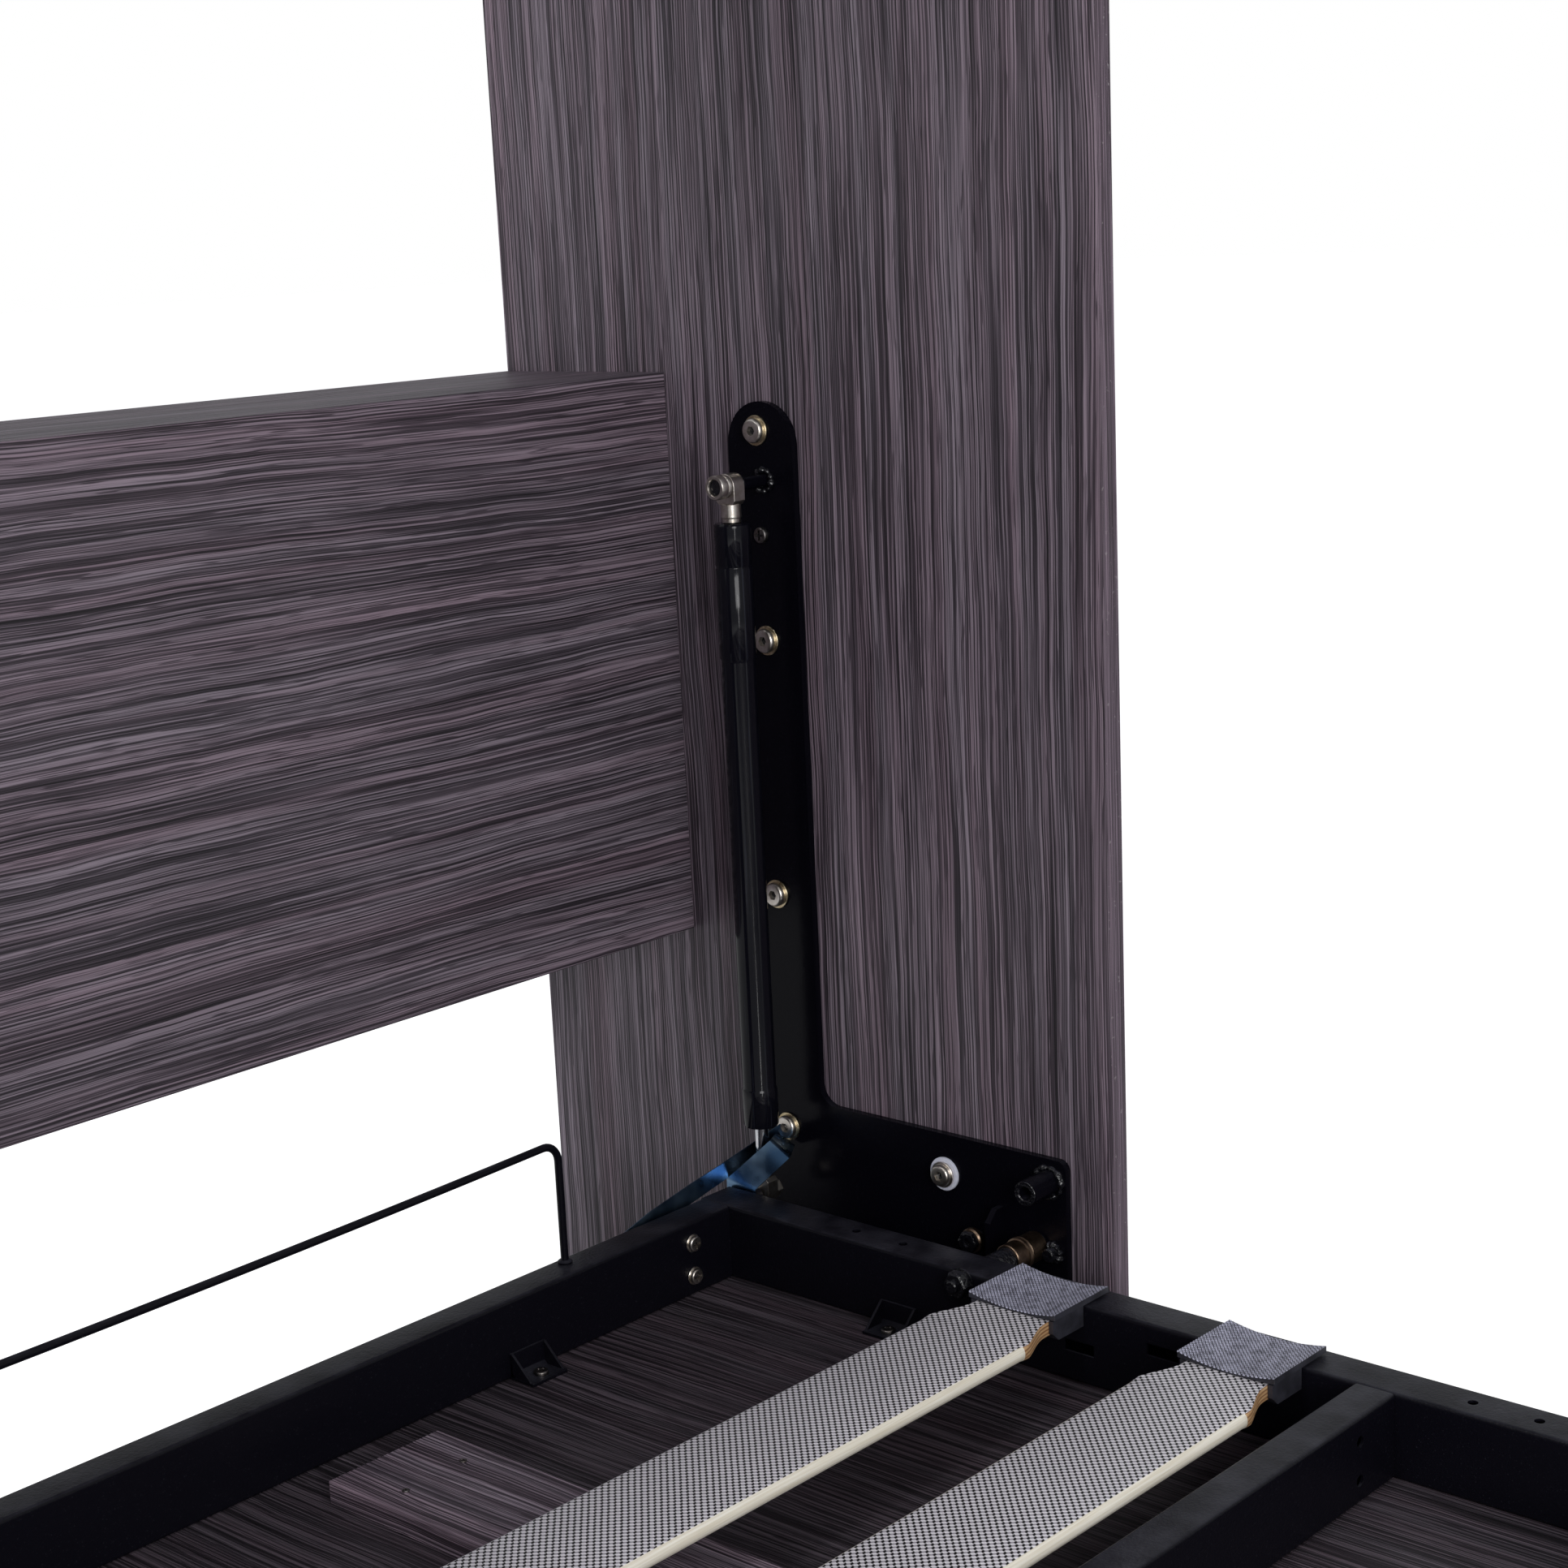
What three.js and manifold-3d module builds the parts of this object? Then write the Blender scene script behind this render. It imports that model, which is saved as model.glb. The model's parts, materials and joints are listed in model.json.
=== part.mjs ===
// Murphy wall bed: an open-fronted cabinet, a folding steel bed frame hung on two pivots,
// a gas spring on each side, sprung slats, a panelled front under the frame and a folding leg.
// Millimetres. +Z is up, +Y points to the wall, +X is the right of someone facing the wall.
// The bed is drawn folded down, and the origin is under the middle of that outline.

import * as THREE from 'three';
import { mergeVertices } from 'three/addons/utils/BufferGeometryUtils.js';
import Module from 'manifold-3d';

// ---------------------------------------------------------------- driving dimensions

// cabinet
const BOARD = 18;               // carcass board thickness
const CABINET_DEPTH = 600;      // side panel, wall edge to front edge
const SIDE_GAP = 68;            // side rail's outer face to side panel's inner face
const REVEAL = 4;               // gap around the closed front
const TOE_KICK_HEIGHT = 70;
const TOE_KICK_SETBACK = 22;
const UPPER_RAIL_HEIGHT = 150;
const LOWER_RAIL_HEIGHT = 120;
const LOWER_RAIL_BOTTOM = 60;
const HEADBOARD_DEPTH = 182;
const HEADBOARD_HEIGHT = 453;
const HEADBOARD_LIFT = 186;     // bed frame's top to headboard's underside

// pivot of the bed, measured from the wall and the floor
const PIVOT_SETBACK = 67;       // cabinet's front edge to pivot axis
const PIVOT_HEIGHT = 340;
const PIVOT_BELOW_TOP = 11;     // pivot axis to bed frame's top face
const PIN_RADIUS = 10;

// bed frame, in rectangular steel tube
const FRAME_WIDTH = 1360;
const FRAME_LENGTH = 1960;
const FRAME_HEAD = 259;         // head rail's outer face to pivot axis
const TUBE_HEIGHT = 60;
const TUBE_WIDTH = 30;          // head rail, foot rail and cross tubes
const SIDE_RAIL_WIDTH = 35;
const TUBE_WALL = 2;
const TUBE_CORNER = 3;          // outside corner radius of every square-edged tube
const CROSS_TUBE_FROM_END = 603; // frame's end to the middle of the first and last cross tube
const HOLE_SPACING = 46;        // the two holes that a slat cap plugs into
const HOLE_RADIUS = 3.5;
const SLOT = { fromHead: [367, 438], z: [-33, -19], length: 26, height: 9 };
const TUBE_END_HOLES = { z: [-17, -44], fromEnd: 43, radius: 4 };

// slats and their caps, placed from the frame's head end
const SLAT = { width: 91, tongue: 64, shoulder: 38, taper: 45, thickness: 11 };
const SLAT_AT = [336, 513, 873, 1087, 1273, 1447, 1624];
const EMPTY_SEAT_AT = [170, 687, 1790];
const CAP = { length: 76, inboard: 37, onRail: 28, skin: 4, wall: 3.5 };

// front panels, fixed under the frame
const FRONT_BOARD = 16;
const FRONT_SEAM = 1;
const FRONT_OVERHANG = 22;      // past the foot rail
const FRONT_CLOSED_BOTTOM = 82; // lowest edge above the floor when the bed is up
const BATTEN = { width: 95, thickness: 16, fromHead: 78, clearance: 12 };

// mechanism plate, on the inside of each side panel
const PLATE = { thickness: 6, armWidth: 66, rear: 253, top: 618, armTop: 60, front: 561,
  overFront: 4, fillet: 17, corner: 8, heel: 14 };
const PLATE_BOLT_RADIUS = 4.5;
// bolt holes as distance from the wall and height over the bed frame's top
const PLATE_BOLTS = [[283, 596], [285, 434], [283, 230], [284, 35], [446, 28]];
const BOSS = { fromWall: 546, z: 42, radius: 10, bore: 5, length: 30, floor: 2 };

// gas spring, one on each side; its axis stands on end when the bed is down
const SPRING_FROM_PANEL = 45;   // side panel's inner face to the spring's axis
const SPRING_FROM_WALL = 289;
const UPPER_STUD_Z = 558;       // heights over the bed frame's top
const LOWER_STUD_Z = -9;
const STUD_RADIUS = 5;
const EYE = { outer: 10, width: 14, stem: 7.5, neck: 2 };
const STUD_PAST_EYE = 6;        // room for the nut on the upper stud
const CYLINDER = { top: 530, sleeveEnd: 425, collarTop: 79, bottom: 48, radius: 13.4,
  sleeve: 14.3, bore: 11.4, topWall: 15, sealDepth: 41 };
const ROD = { radius: 5.5, pistonLength: 16, headroom: 10, thread: 14 };

// mattress stop at the head, bent from rod
const WIRE = { radius: 3, height: 98, fromEnd: 10, inset: 159, bow: 12, bend: 12 };

// folding leg under the foot end
const LEG = { width: 25, wall: 1.5, span: 900, fromFoot: 60, drop: 18 };
const LEG_PIN = 5;
const BRACKET = { thickness: 3, length: 40, gap: 1, ear: 4 };

// gaps between pieces, and how far a joined or cutting solid runs past a face
const TOUCH = 0.3;              // pieces fixed to each other
const RUNNING = 0.5;            // round a part that turns or slides
const OVERRUN = 1;

// ---------------------------------------------------------------- places worked out from them

const INNER_WIDTH = FRAME_WIDTH + 2 * SIDE_GAP;
const PIVOT_FROM_WALL = CABINET_DEPTH - PIVOT_SETBACK;
const FRAME_TOP = PIVOT_HEIGHT + PIVOT_BELOW_TOP;
const HEAD_FROM_WALL = PIVOT_FROM_WALL - FRAME_HEAD;
const FOOT_FROM_WALL = HEAD_FROM_WALL + FRAME_LENGTH;
const OPEN_DEPTH = FOOT_FROM_WALL + FRONT_OVERHANG;
const WALL_Y = OPEN_DEPTH / 2;
const CABINET_HEIGHT = PIVOT_HEIGHT + (OPEN_DEPTH - PIVOT_FROM_WALL) + REVEAL + BOARD;
const HEADBOARD_BOTTOM = FRAME_TOP + HEADBOARD_LIFT;
const RAIL_INNER_X = FRAME_WIDTH / 2 - SIDE_RAIL_WIDTH;
const FRONT_WIDTH = INNER_WIDTH - 2 * REVEAL;
const FRONT_PANEL_WIDTH = (FRONT_WIDTH - 2 * FRONT_SEAM) / 3;
const FRONT_HEAD_FROM_WALL = PIVOT_FROM_WALL - (PIVOT_HEIGHT - FRONT_CLOSED_BOTTOM);
const FRONT_TOP = FRAME_TOP - TUBE_HEIGHT - TOUCH;
const CROSS_TUBES_AT = [CROSS_TUBE_FROM_END, FRAME_LENGTH / 2, FRAME_LENGTH - CROSS_TUBE_FROM_END];

// Y of a point so far from the wall, and of one so far down the bed frame from its head end
const fromWall = (distance) => WALL_Y - distance;
const fromHead = (distance) => WALL_Y - HEAD_FROM_WALL - distance;

// ---------------------------------------------------------------- materials

const finish = (color, roughness, metalness) =>
  new THREE.MeshStandardMaterial({ color, roughness, metalness });
const oakLaminate = finish(0x4a434a, 0.6, 0);
const blackPowder = finish(0x17161b, 0.5, 0.5);
const blackGloss = finish(0x0b0b0f, 0.2, 0.4);
const nickel = finish(0xb9b3a6, 0.3, 1);
const bronze = finish(0x8d7a5c, 0.4, 1);
const birch = finish(0xd9cdb4, 0.6, 0);
const darkRubber = finish(0x2d3038, 0.8, 0);

// ---------------------------------------------------------------- solids

const wasm = await Module();
wasm.setup();

function toManifold(geometry) {
  const bare = geometry.index ? geometry.toNonIndexed() : geometry.clone();
  bare.deleteAttribute('normal');
  bare.deleteAttribute('uv');
  const merged = mergeVertices(bare, 1e-4);
  return new wasm.Manifold(new wasm.Mesh({
    numProp: 3,
    vertProperties: new Float32Array(merged.attributes.position.array),
    triVerts: new Uint32Array(merged.index.array),
  }));
}

function toGeometry(manifold) {
  const mesh = manifold.getMesh();
  const geometry = new THREE.BufferGeometry();
  geometry.setAttribute('position', new THREE.BufferAttribute(new Float32Array(mesh.vertProperties), 3));
  geometry.setIndex(new THREE.BufferAttribute(new Uint32Array(mesh.triVerts), 1));
  return geometry;
}

const cut = (body, tools) =>
  toGeometry(tools.reduce((solid, tool) => solid.subtract(toManifold(tool)), toManifold(body)));
const join = (pieces) =>
  toGeometry(pieces.slice(1).reduce((solid, piece) => solid.add(toManifold(piece)), toManifold(pieces[0])));

// a box from its lowest corner to its highest
function block(low, high) {
  const size = high.map((value, axis) => value - low[axis]);
  const geometry = new THREE.BoxGeometry(...size);
  return geometry.translate(...high.map((value, axis) => (value + low[axis]) / 2));
}

// a round bar along X, from x0 to x1, round a point (y, z)
function barAlongX(radius, x0, x1, y, z, sides = 24) {
  const geometry = new THREE.CylinderGeometry(radius, radius, x1 - x0, sides);
  return geometry.rotateZ(Math.PI / 2).translate((x0 + x1) / 2, y, z);
}

// an upright round bar from z0 to z1 at (x, y)
function barAlongZ(radius, z0, z1, x, y, sides = 24) {
  const geometry = new THREE.CylinderGeometry(radius, radius, z1 - z0, sides);
  return geometry.rotateX(Math.PI / 2).translate(x, y, (z0 + z1) / 2);
}

// a rectangle with round corners, centred
function roundedRectangle(path, width, height, radius) {
  const x = width / 2 - radius;
  const y = height / 2 - radius;
  const quarter = Math.PI / 2;
  path.absarc(x, -y, radius, -quarter, 0, false);
  path.absarc(x, y, radius, 0, quarter, false);
  path.absarc(-x, y, radius, quarter, 2 * quarter, false);
  path.absarc(-x, -y, radius, 2 * quarter, 3 * quarter, false);
  path.closePath();
  return path;
}

// an open-ended rectangular tube, centred, its length along Z before it is turned
function rectangularTube(width, height, length) {
  const shape = roundedRectangle(new THREE.Shape(), width, height, TUBE_CORNER);
  const inside = [width - 2 * TUBE_WALL, height - 2 * TUBE_WALL];
  shape.holes.push(roundedRectangle(new THREE.Path(), ...inside, TUBE_CORNER - TUBE_WALL));
  const extrusion = { depth: length, bevelEnabled: false, curveSegments: 4 };
  return new THREE.ExtrudeGeometry(shape, extrusion).translate(0, 0, -length / 2);
}

const tubeAlongX = (width, height, length) =>
  rectangularTube(height, width, length).rotateY(Math.PI / 2);
const tubeAlongY = (width, height, length) =>
  rectangularTube(width, height, length).rotateX(Math.PI / 2);

// ---------------------------------------------------------------- the tree

const bed = new THREE.Group();

function add(name, geometry, material, x = 0, y = 0, z = 0) {
  const mesh = new THREE.Mesh(geometry, material);
  mesh.name = name;
  mesh.position.set(x, y, z);
  bed.add(mesh);
}

const SIDES = [['left', -1], ['right', 1]];
const inOrder = (a, b) => [Math.min(a, b), Math.max(a, b)];

// -- cabinet: two side panels, a top, a toe kick and two wall rails

function sidePanel(side) {
  const inner = INNER_WIDTH / 2;
  const x = side > 0 ? [inner, inner + BOARD] : [-inner - BOARD, -inner];
  return block([x[0], fromWall(CABINET_DEPTH), 0], [x[1], fromWall(0), CABINET_HEIGHT]);
}

// a board across the cabinet between the side panels
function crossBoard(wallSide, roomSide, bottom, top) {
  const x = INNER_WIDTH / 2 - TOUCH;
  return block([-x, fromWall(roomSide), bottom], [x, fromWall(wallSide), top]);
}

for (const [name, side] of SIDES) add(`side_panel_${name}`, sidePanel(side), oakLaminate);

const cabinetTopUnderside = CABINET_HEIGHT - BOARD;
add('top_panel', crossBoard(0, CABINET_DEPTH, cabinetTopUnderside, CABINET_HEIGHT), oakLaminate);
const toeKickFront = CABINET_DEPTH - TOE_KICK_SETBACK;
add('toe_kick', crossBoard(toeKickFront - BOARD, toeKickFront, 0, TOE_KICK_HEIGHT), oakLaminate);
add('upper_rear_rail',
  crossBoard(0, BOARD, cabinetTopUnderside - TOUCH - UPPER_RAIL_HEIGHT, cabinetTopUnderside - TOUCH),
  oakLaminate);
add('lower_rear_rail',
  crossBoard(0, BOARD, LOWER_RAIL_BOTTOM, LOWER_RAIL_BOTTOM + LOWER_RAIL_HEIGHT), oakLaminate);

// -- headboard: a face board that hides a shelf board and a bottom board

const headboardTop = HEADBOARD_BOTTOM + HEADBOARD_HEIGHT;
const headboardFaceBack = HEADBOARD_DEPTH - BOARD;
add('headboard_front',
  crossBoard(headboardFaceBack, HEADBOARD_DEPTH, HEADBOARD_BOTTOM, headboardTop), oakLaminate);
add('headboard_shelf',
  crossBoard(0, headboardFaceBack - TOUCH, headboardTop - BOARD, headboardTop), oakLaminate);
add('headboard_bottom',
  crossBoard(0, headboardFaceBack - TOUCH, HEADBOARD_BOTTOM, HEADBOARD_BOTTOM + BOARD), oakLaminate);

// -- mechanism plate: an L of steel plate with the spring's upper stud and a boss welded on

function plateOutline() {
  const { armWidth, rear, top, armTop, front, fillet, corner, heel } = PLATE;
  const bottom = PLATE.overFront - TUBE_HEIGHT;
  const right = rear + armWidth;
  const round = armWidth / 2;
  const shape = new THREE.Shape();
  shape.moveTo(rear, bottom);
  shape.lineTo(front - heel, bottom);
  shape.absarc(front - heel, bottom + heel, heel, -Math.PI / 2, 0, false);
  shape.absarc(front - corner, armTop - corner, corner, 0, Math.PI / 2, false);
  shape.absarc(right + fillet, armTop + fillet, fillet, -Math.PI / 2, -Math.PI, true);
  shape.absarc(rear + round, top - round, round, 0, Math.PI, false);
  for (const [y, z] of PLATE_BOLTS) {
    shape.holes.push(new THREE.Path().absarc(y, z, PLATE_BOLT_RADIUS, 0, 2 * Math.PI, true));
  }
  const pinHole = new THREE.Path();
  pinHole.absarc(PIVOT_FROM_WALL, -PIVOT_BELOW_TOP, PIN_RADIUS + RUNNING, 0, 2 * Math.PI, true);
  shape.holes.push(pinHole);
  return shape;
}

// x is counted from the side panel's inner face into the bed; y is the distance from the wall
function mechanismPlate(side) {
  const face = PLATE.thickness + TOUCH;
  const studEnd = SPRING_FROM_PANEL + EYE.width / 2 + STUD_PAST_EYE;
  const sheet = new THREE.ExtrudeGeometry(plateOutline(), {
    depth: PLATE.thickness, bevelEnabled: false, curveSegments: 10,
  });
  // shape's X is distance from the wall and its Y is height: stand it up across the cabinet
  sheet.applyMatrix4(new THREE.Matrix4().set(
    0, 0, 1, TOUCH,
    1, 0, 0, 0,
    0, 1, 0, 0,
    0, 0, 0, 1));
  const root = face - OVERRUN;
  const stud = barAlongX(STUD_RADIUS, root, studEnd, SPRING_FROM_WALL, UPPER_STUD_Z, 16);
  const boss = barAlongX(BOSS.radius, root, face + BOSS.length, BOSS.fromWall, BOSS.z, 20);
  const boreEnds = [face + BOSS.floor, face + BOSS.length + OVERRUN];
  const bore = barAlongX(BOSS.bore, ...boreEnds, BOSS.fromWall, BOSS.z, 12);
  return placeFromPanel(cut(join([sheet, stud, boss]), [bore]), side);
}

// turn a piece drawn as (from side panel, from wall, over frame top) into its place on one side
function placeFromPanel(geometry, side) {
  const matrix = new THREE.Matrix4().set(
    -side, 0, 0, side * INNER_WIDTH / 2,
    0, -1, 0, WALL_Y,
    0, 0, 1, FRAME_TOP,
    0, 0, 0, 1);
  geometry.applyMatrix4(matrix);
  if (matrix.determinant() < 0) flip(geometry);
  return geometry;
}

// reverse the winding of every triangle, after a mirror
function flip(geometry) {
  if (geometry.index) {
    const index = geometry.index.array;
    for (let i = 0; i < index.length; i += 3) [index[i], index[i + 1]] = [index[i + 1], index[i]];
    return;
  }
  const points = geometry.attributes.position;
  for (let i = 0; i < points.count; i += 3) {
    const a = new THREE.Vector3().fromBufferAttribute(points, i);
    const b = new THREE.Vector3().fromBufferAttribute(points, i + 1);
    points.setXYZ(i, b.x, b.y, b.z);
    points.setXYZ(i + 1, a.x, a.y, a.z);
  }
}

for (const [name, side] of SIDES) add(`mechanism_plate_${name}`, mechanismPlate(side), blackGloss);

// -- gas spring: an eye at each end, a cylinder open at the bottom and a rod with its piston

function lathe(profile, sides = 24) {
  const points = profile.map(([radius, z]) => new THREE.Vector2(radius, z));
  const geometry = new THREE.LatheGeometry(points, sides);
  return geometry.rotateX(Math.PI / 2).translate(SPRING_FROM_PANEL, SPRING_FROM_WALL, 0);
}

function eye(centre, stemFrom, stemTo) {
  const half = EYE.width / 2;
  const x0 = SPRING_FROM_PANEL - half;
  const x1 = SPRING_FROM_PANEL + half;
  const ring = barAlongX(EYE.outer, x0, x1, SPRING_FROM_WALL, centre, 24);
  const stem = barAlongZ(EYE.stem, stemFrom, stemTo, SPRING_FROM_PANEL, SPRING_FROM_WALL, 16);
  const hole = barAlongX(STUD_RADIUS + RUNNING, x0 - OVERRUN, x1 + OVERRUN, SPRING_FROM_WALL, centre, 16);
  return cut(join([ring, stem]), [hole]);
}

function cylinder() {
  const { top, sleeveEnd, collarTop, bottom, radius, sleeve, bore, topWall, sealDepth } = CYLINDER;
  const guide = ROD.radius + RUNNING;
  const seal = bottom + sealDepth;
  return lathe([
    [0, top], [sleeve, top], [sleeve, sleeveEnd], [radius, sleeveEnd], [radius, collarTop],
    [sleeve, collarTop], [sleeve, bottom], [guide, bottom], [guide, seal], [bore, seal],
    [bore, top - topWall], [0, top - topWall],
  ].reverse());
}

function rod() {
  const { radius, pistonLength, headroom, thread } = ROD;
  const piston = CYLINDER.bore - RUNNING;
  const high = CYLINDER.top - CYLINDER.topWall - headroom;
  const low = LOWER_STUD_Z + EYE.outer + thread + TOUCH;
  return lathe([
    [0, low], [radius, low], [radius, high - pistonLength], [piston, high - pistonLength],
    [piston, high], [0, high],
  ]);
}

for (const [name, side] of SIDES) {
  const neck = STUD_RADIUS + EYE.neck;
  const upperEye = eye(UPPER_STUD_Z, CYLINDER.top + TOUCH, UPPER_STUD_Z - neck);
  const lowerEye = eye(LOWER_STUD_Z, LOWER_STUD_Z + neck, LOWER_STUD_Z + EYE.outer + ROD.thread);
  add(`gas_upper_eye_${name}`, placeFromPanel(upperEye, side), nickel);
  add(`gas_cylinder_${name}`, placeFromPanel(cylinder(), side), blackGloss);
  add(`gas_rod_${name}`, placeFromPanel(rod(), side), nickel);
  add(`gas_lower_eye_${name}`, placeFromPanel(lowerEye, side), nickel);
}

// -- bed frame: side rails run its whole length, the other tubes fit between them

function sideRail(side) {
  const x = side * (FRAME_WIDTH - SIDE_RAIL_WIDTH) / 2;
  const y = fromHead(FRAME_LENGTH / 2);
  const z = FRAME_TOP - TUBE_HEIGHT / 2;
  const tube = tubeAlongY(SIDE_RAIL_WIDTH, TUBE_HEIGHT, FRAME_LENGTH).translate(x, y, z);
  const holes = [];
  for (const seat of EMPTY_SEAT_AT) {
    for (const end of [-1, 1]) {
      const holeY = fromHead(seat + end * HOLE_SPACING / 2);
      const ends = [FRAME_TOP - 2 * TUBE_WALL, FRAME_TOP + OVERRUN];
      holes.push(barAlongZ(HOLE_RADIUS, ...ends, x, holeY, 12));
    }
  }
  SLOT.fromHead.forEach((distance, i) => {
    const slotY = fromHead(distance);
    const slotZ = FRAME_TOP + SLOT.z[i];
    const xs = inOrder(side * (RAIL_INNER_X - OVERRUN), side * (RAIL_INNER_X + 2 * TUBE_WALL));
    holes.push(block([xs[0], slotY - SLOT.length / 2, slotZ - SLOT.height / 2],
      [xs[1], slotY + SLOT.length / 2, slotZ + SLOT.height / 2]));
  });
  return cut(tube, holes);
}

// the short stud that carries the spring's lower eye stops before the eye
function sideRailWithStud(side) {
  const outer = side * FRAME_WIDTH / 2;
  const tip = side * (INNER_WIDTH / 2 - SPRING_FROM_PANEL - EYE.width / 2 - RUNNING);
  const root = outer - side * TUBE_WALL / 2;
  const stud = barAlongX(STUD_RADIUS, ...inOrder(root, tip),
    fromWall(SPRING_FROM_WALL), FRAME_TOP + LOWER_STUD_Z, 16);
  return join([sideRail(side), stud]);
}

for (const [name, side] of SIDES) add(`side_rail_${name}`, sideRailWithStud(side), blackPowder);

const crossLength = 2 * (RAIL_INNER_X - TOUCH);
const tubeMiddleZ = FRAME_TOP - TUBE_HEIGHT / 2;
const endTube = () => tubeAlongX(TUBE_WIDTH, TUBE_HEIGHT, crossLength);
add('head_rail', endTube(), blackPowder, 0, fromHead(TUBE_WIDTH / 2), tubeMiddleZ);
add('foot_rail', endTube(), blackPowder, 0, fromHead(FRAME_LENGTH - TUBE_WIDTH / 2), tubeMiddleZ);

// a cross tube has two holes one over the other near each end of its foot side
function crossTube() {
  const x = crossLength / 2 - TUBE_END_HOLES.fromEnd;
  const holes = [];
  for (const side of [-1, 1]) {
    for (const z of TUBE_END_HOLES.z) {
      const hole = barAlongZ(TUBE_END_HOLES.radius, -OVERRUN, 2 * TUBE_WALL, 0, 0, 12);
      hole.rotateX(-Math.PI / 2);
      holes.push(hole.translate(side * x, -TUBE_WIDTH / 2, z + TUBE_HEIGHT / 2));
    }
  }
  return cut(endTube(), holes);
}

CROSS_TUBES_AT.forEach((distance, i) => {
  add(`cross_tube_${i + 1}`, crossTube(), blackPowder, 0, fromHead(distance), tubeMiddleZ);
});

// the pivot pins stand out of the side rails and turn in the mechanism plates
for (const [name, side] of SIDES) {
  const ends = inOrder(side * (FRAME_WIDTH / 2 + TOUCH), side * (INNER_WIDTH / 2 - TOUCH));
  add(`pivot_pin_${name}`,
    barAlongX(PIN_RADIUS, ...ends, fromWall(PIVOT_FROM_WALL), PIVOT_HEIGHT, 32), bronze);
}

// -- slats: full-width plywood with a narrower tongue at each end

function slat() {
  const { width, tongue, shoulder, taper, thickness } = SLAT;
  const end = RAIL_INNER_X - TOUCH - OVERRUN;
  const shoulderX = RAIL_INNER_X - shoulder;
  const w = width / 2;
  const t = tongue / 2;
  const quarter = [[shoulderX - taper, w], [shoulderX, t], [end, t]];
  const corners = [
    ...quarter,
    ...quarter.map(([x, y]) => [x, -y]).reverse(),
    ...quarter.map(([x, y]) => [-x, -y]),
    ...quarter.map(([x, y]) => [-x, y]).reverse(),
  ];
  const shape = new THREE.Shape(corners.reverse().map(([x, y]) => new THREE.Vector2(x, y)));
  const extrusion = { depth: thickness, bevelEnabled: false };
  return new THREE.ExtrudeGeometry(shape, extrusion).translate(0, 0, -thickness);
}

// a moulded cap: a plate that plugs into the rail's top, and a pocket that holds a slat's tongue
function slatCap(side) {
  const { length, inboard, onRail, skin, wall } = CAP;
  const half = length / 2;
  const plate = block([-inboard, -half, TOUCH], [onRail, half, TOUCH + skin]);
  const bottom = -SLAT.thickness - TOUCH - wall;
  const pocketHalf = SLAT.tongue / 2 + TOUCH;
  const shell = block([-inboard, -pocketHalf - wall, bottom], [-TOUCH, pocketHalf + wall, TOUCH + skin / 2]);
  const hollow = block([-inboard - OVERRUN, -pocketHalf, -SLAT.thickness - TOUCH],
    [-TOUCH - RUNNING, pocketHalf, TOUCH]);
  const geometry = cut(join([plate, shell]), [hollow]);
  if (side < 0) geometry.rotateZ(Math.PI);
  return geometry;
}

SLAT_AT.forEach((distance, i) => {
  add(`slat_${i + 1}`, slat(), birch, 0, fromHead(distance), FRAME_TOP);
  for (const [name, side] of SIDES) {
    add(`slat_cap_${i + 1}_${name}`, slatCap(side), darkRubber,
      side * RAIL_INNER_X, fromHead(distance), FRAME_TOP);
  }
});

// -- front: three boards under the frame and short battens over their seams

const frontBottom = FRONT_TOP - FRONT_BOARD;
['left', 'centre', 'right'].forEach((name, i) => {
  const x = (i - 1.5) * FRONT_PANEL_WIDTH + (i - 1) * FRONT_SEAM;
  add(`front_panel_${name}`,
    block([x, fromWall(OPEN_DEPTH), frontBottom],
      [x + FRONT_PANEL_WIDTH, fromWall(FRONT_HEAD_FROM_WALL), FRONT_TOP]),
    oakLaminate);
});

// each batten lies between an end rail and the nearest cross tube
const battenEnd = CROSS_TUBE_FROM_END - TUBE_WIDTH / 2 - BATTEN.clearance;
const battenSpans = [
  ['head', BATTEN.fromHead, battenEnd],
  ['foot', FRAME_LENGTH - battenEnd, FRAME_LENGTH - BATTEN.fromHead],
];
for (const [end, start, stop] of battenSpans) {
  for (const [name, side] of SIDES) {
    const seam = side * (FRONT_PANEL_WIDTH + FRONT_SEAM) / 2;
    add(`batten_${end}_${name}`,
      block([seam - BATTEN.width / 2, fromHead(stop), FRONT_TOP + TOUCH],
        [seam + BATTEN.width / 2, fromHead(start), FRONT_TOP + TOUCH + BATTEN.thickness]),
      oakLaminate);
  }
}

// -- mattress stop: one rod, bent into a loop that bows a little towards the middle of the bed

function mattressStop() {
  const { radius, height, fromEnd, inset, bow, bend } = WIRE;
  const postX = RAIL_INNER_X - inset;
  const y = fromHead(fromEnd);
  const low = FRAME_TOP + TOUCH;
  const high = FRAME_TOP + height - radius;
  const cornerCut = 0.3 * bend;
  const bowAt = (x) => -bow * (1 - (x / (postX - bend)) ** 2);
  const half = [
    [postX, 0, low], [postX, 0, (low + high) / 2], [postX, 0, high - bend],
    [postX - cornerCut, 0, high - cornerCut],
    ...[postX - bend, 0.6 * postX, 0.3 * postX].map((x) => [x, bowAt(x), high]),
  ];
  const points = [
    ...half.map(([x, dy, z]) => new THREE.Vector3(-x, y + dy, z)),
    new THREE.Vector3(0, y - bow, high),
    ...half.map(([x, dy, z]) => new THREE.Vector3(x, y + dy, z)).reverse(),
  ];
  const section = new THREE.Shape().absarc(0, 0, radius, 0, 2 * Math.PI, false);
  return new THREE.ExtrudeGeometry(section, {
    extrudePath: new THREE.CatmullRomCurve3(points, false, 'centripetal'),
    steps: 64, curveSegments: 4, bevelEnabled: false,
  });
}

add('mattress_stop', mattressStop(), blackPowder);

// -- leg: a U of square tube that hangs from two brackets under the front and folds against it

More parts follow.
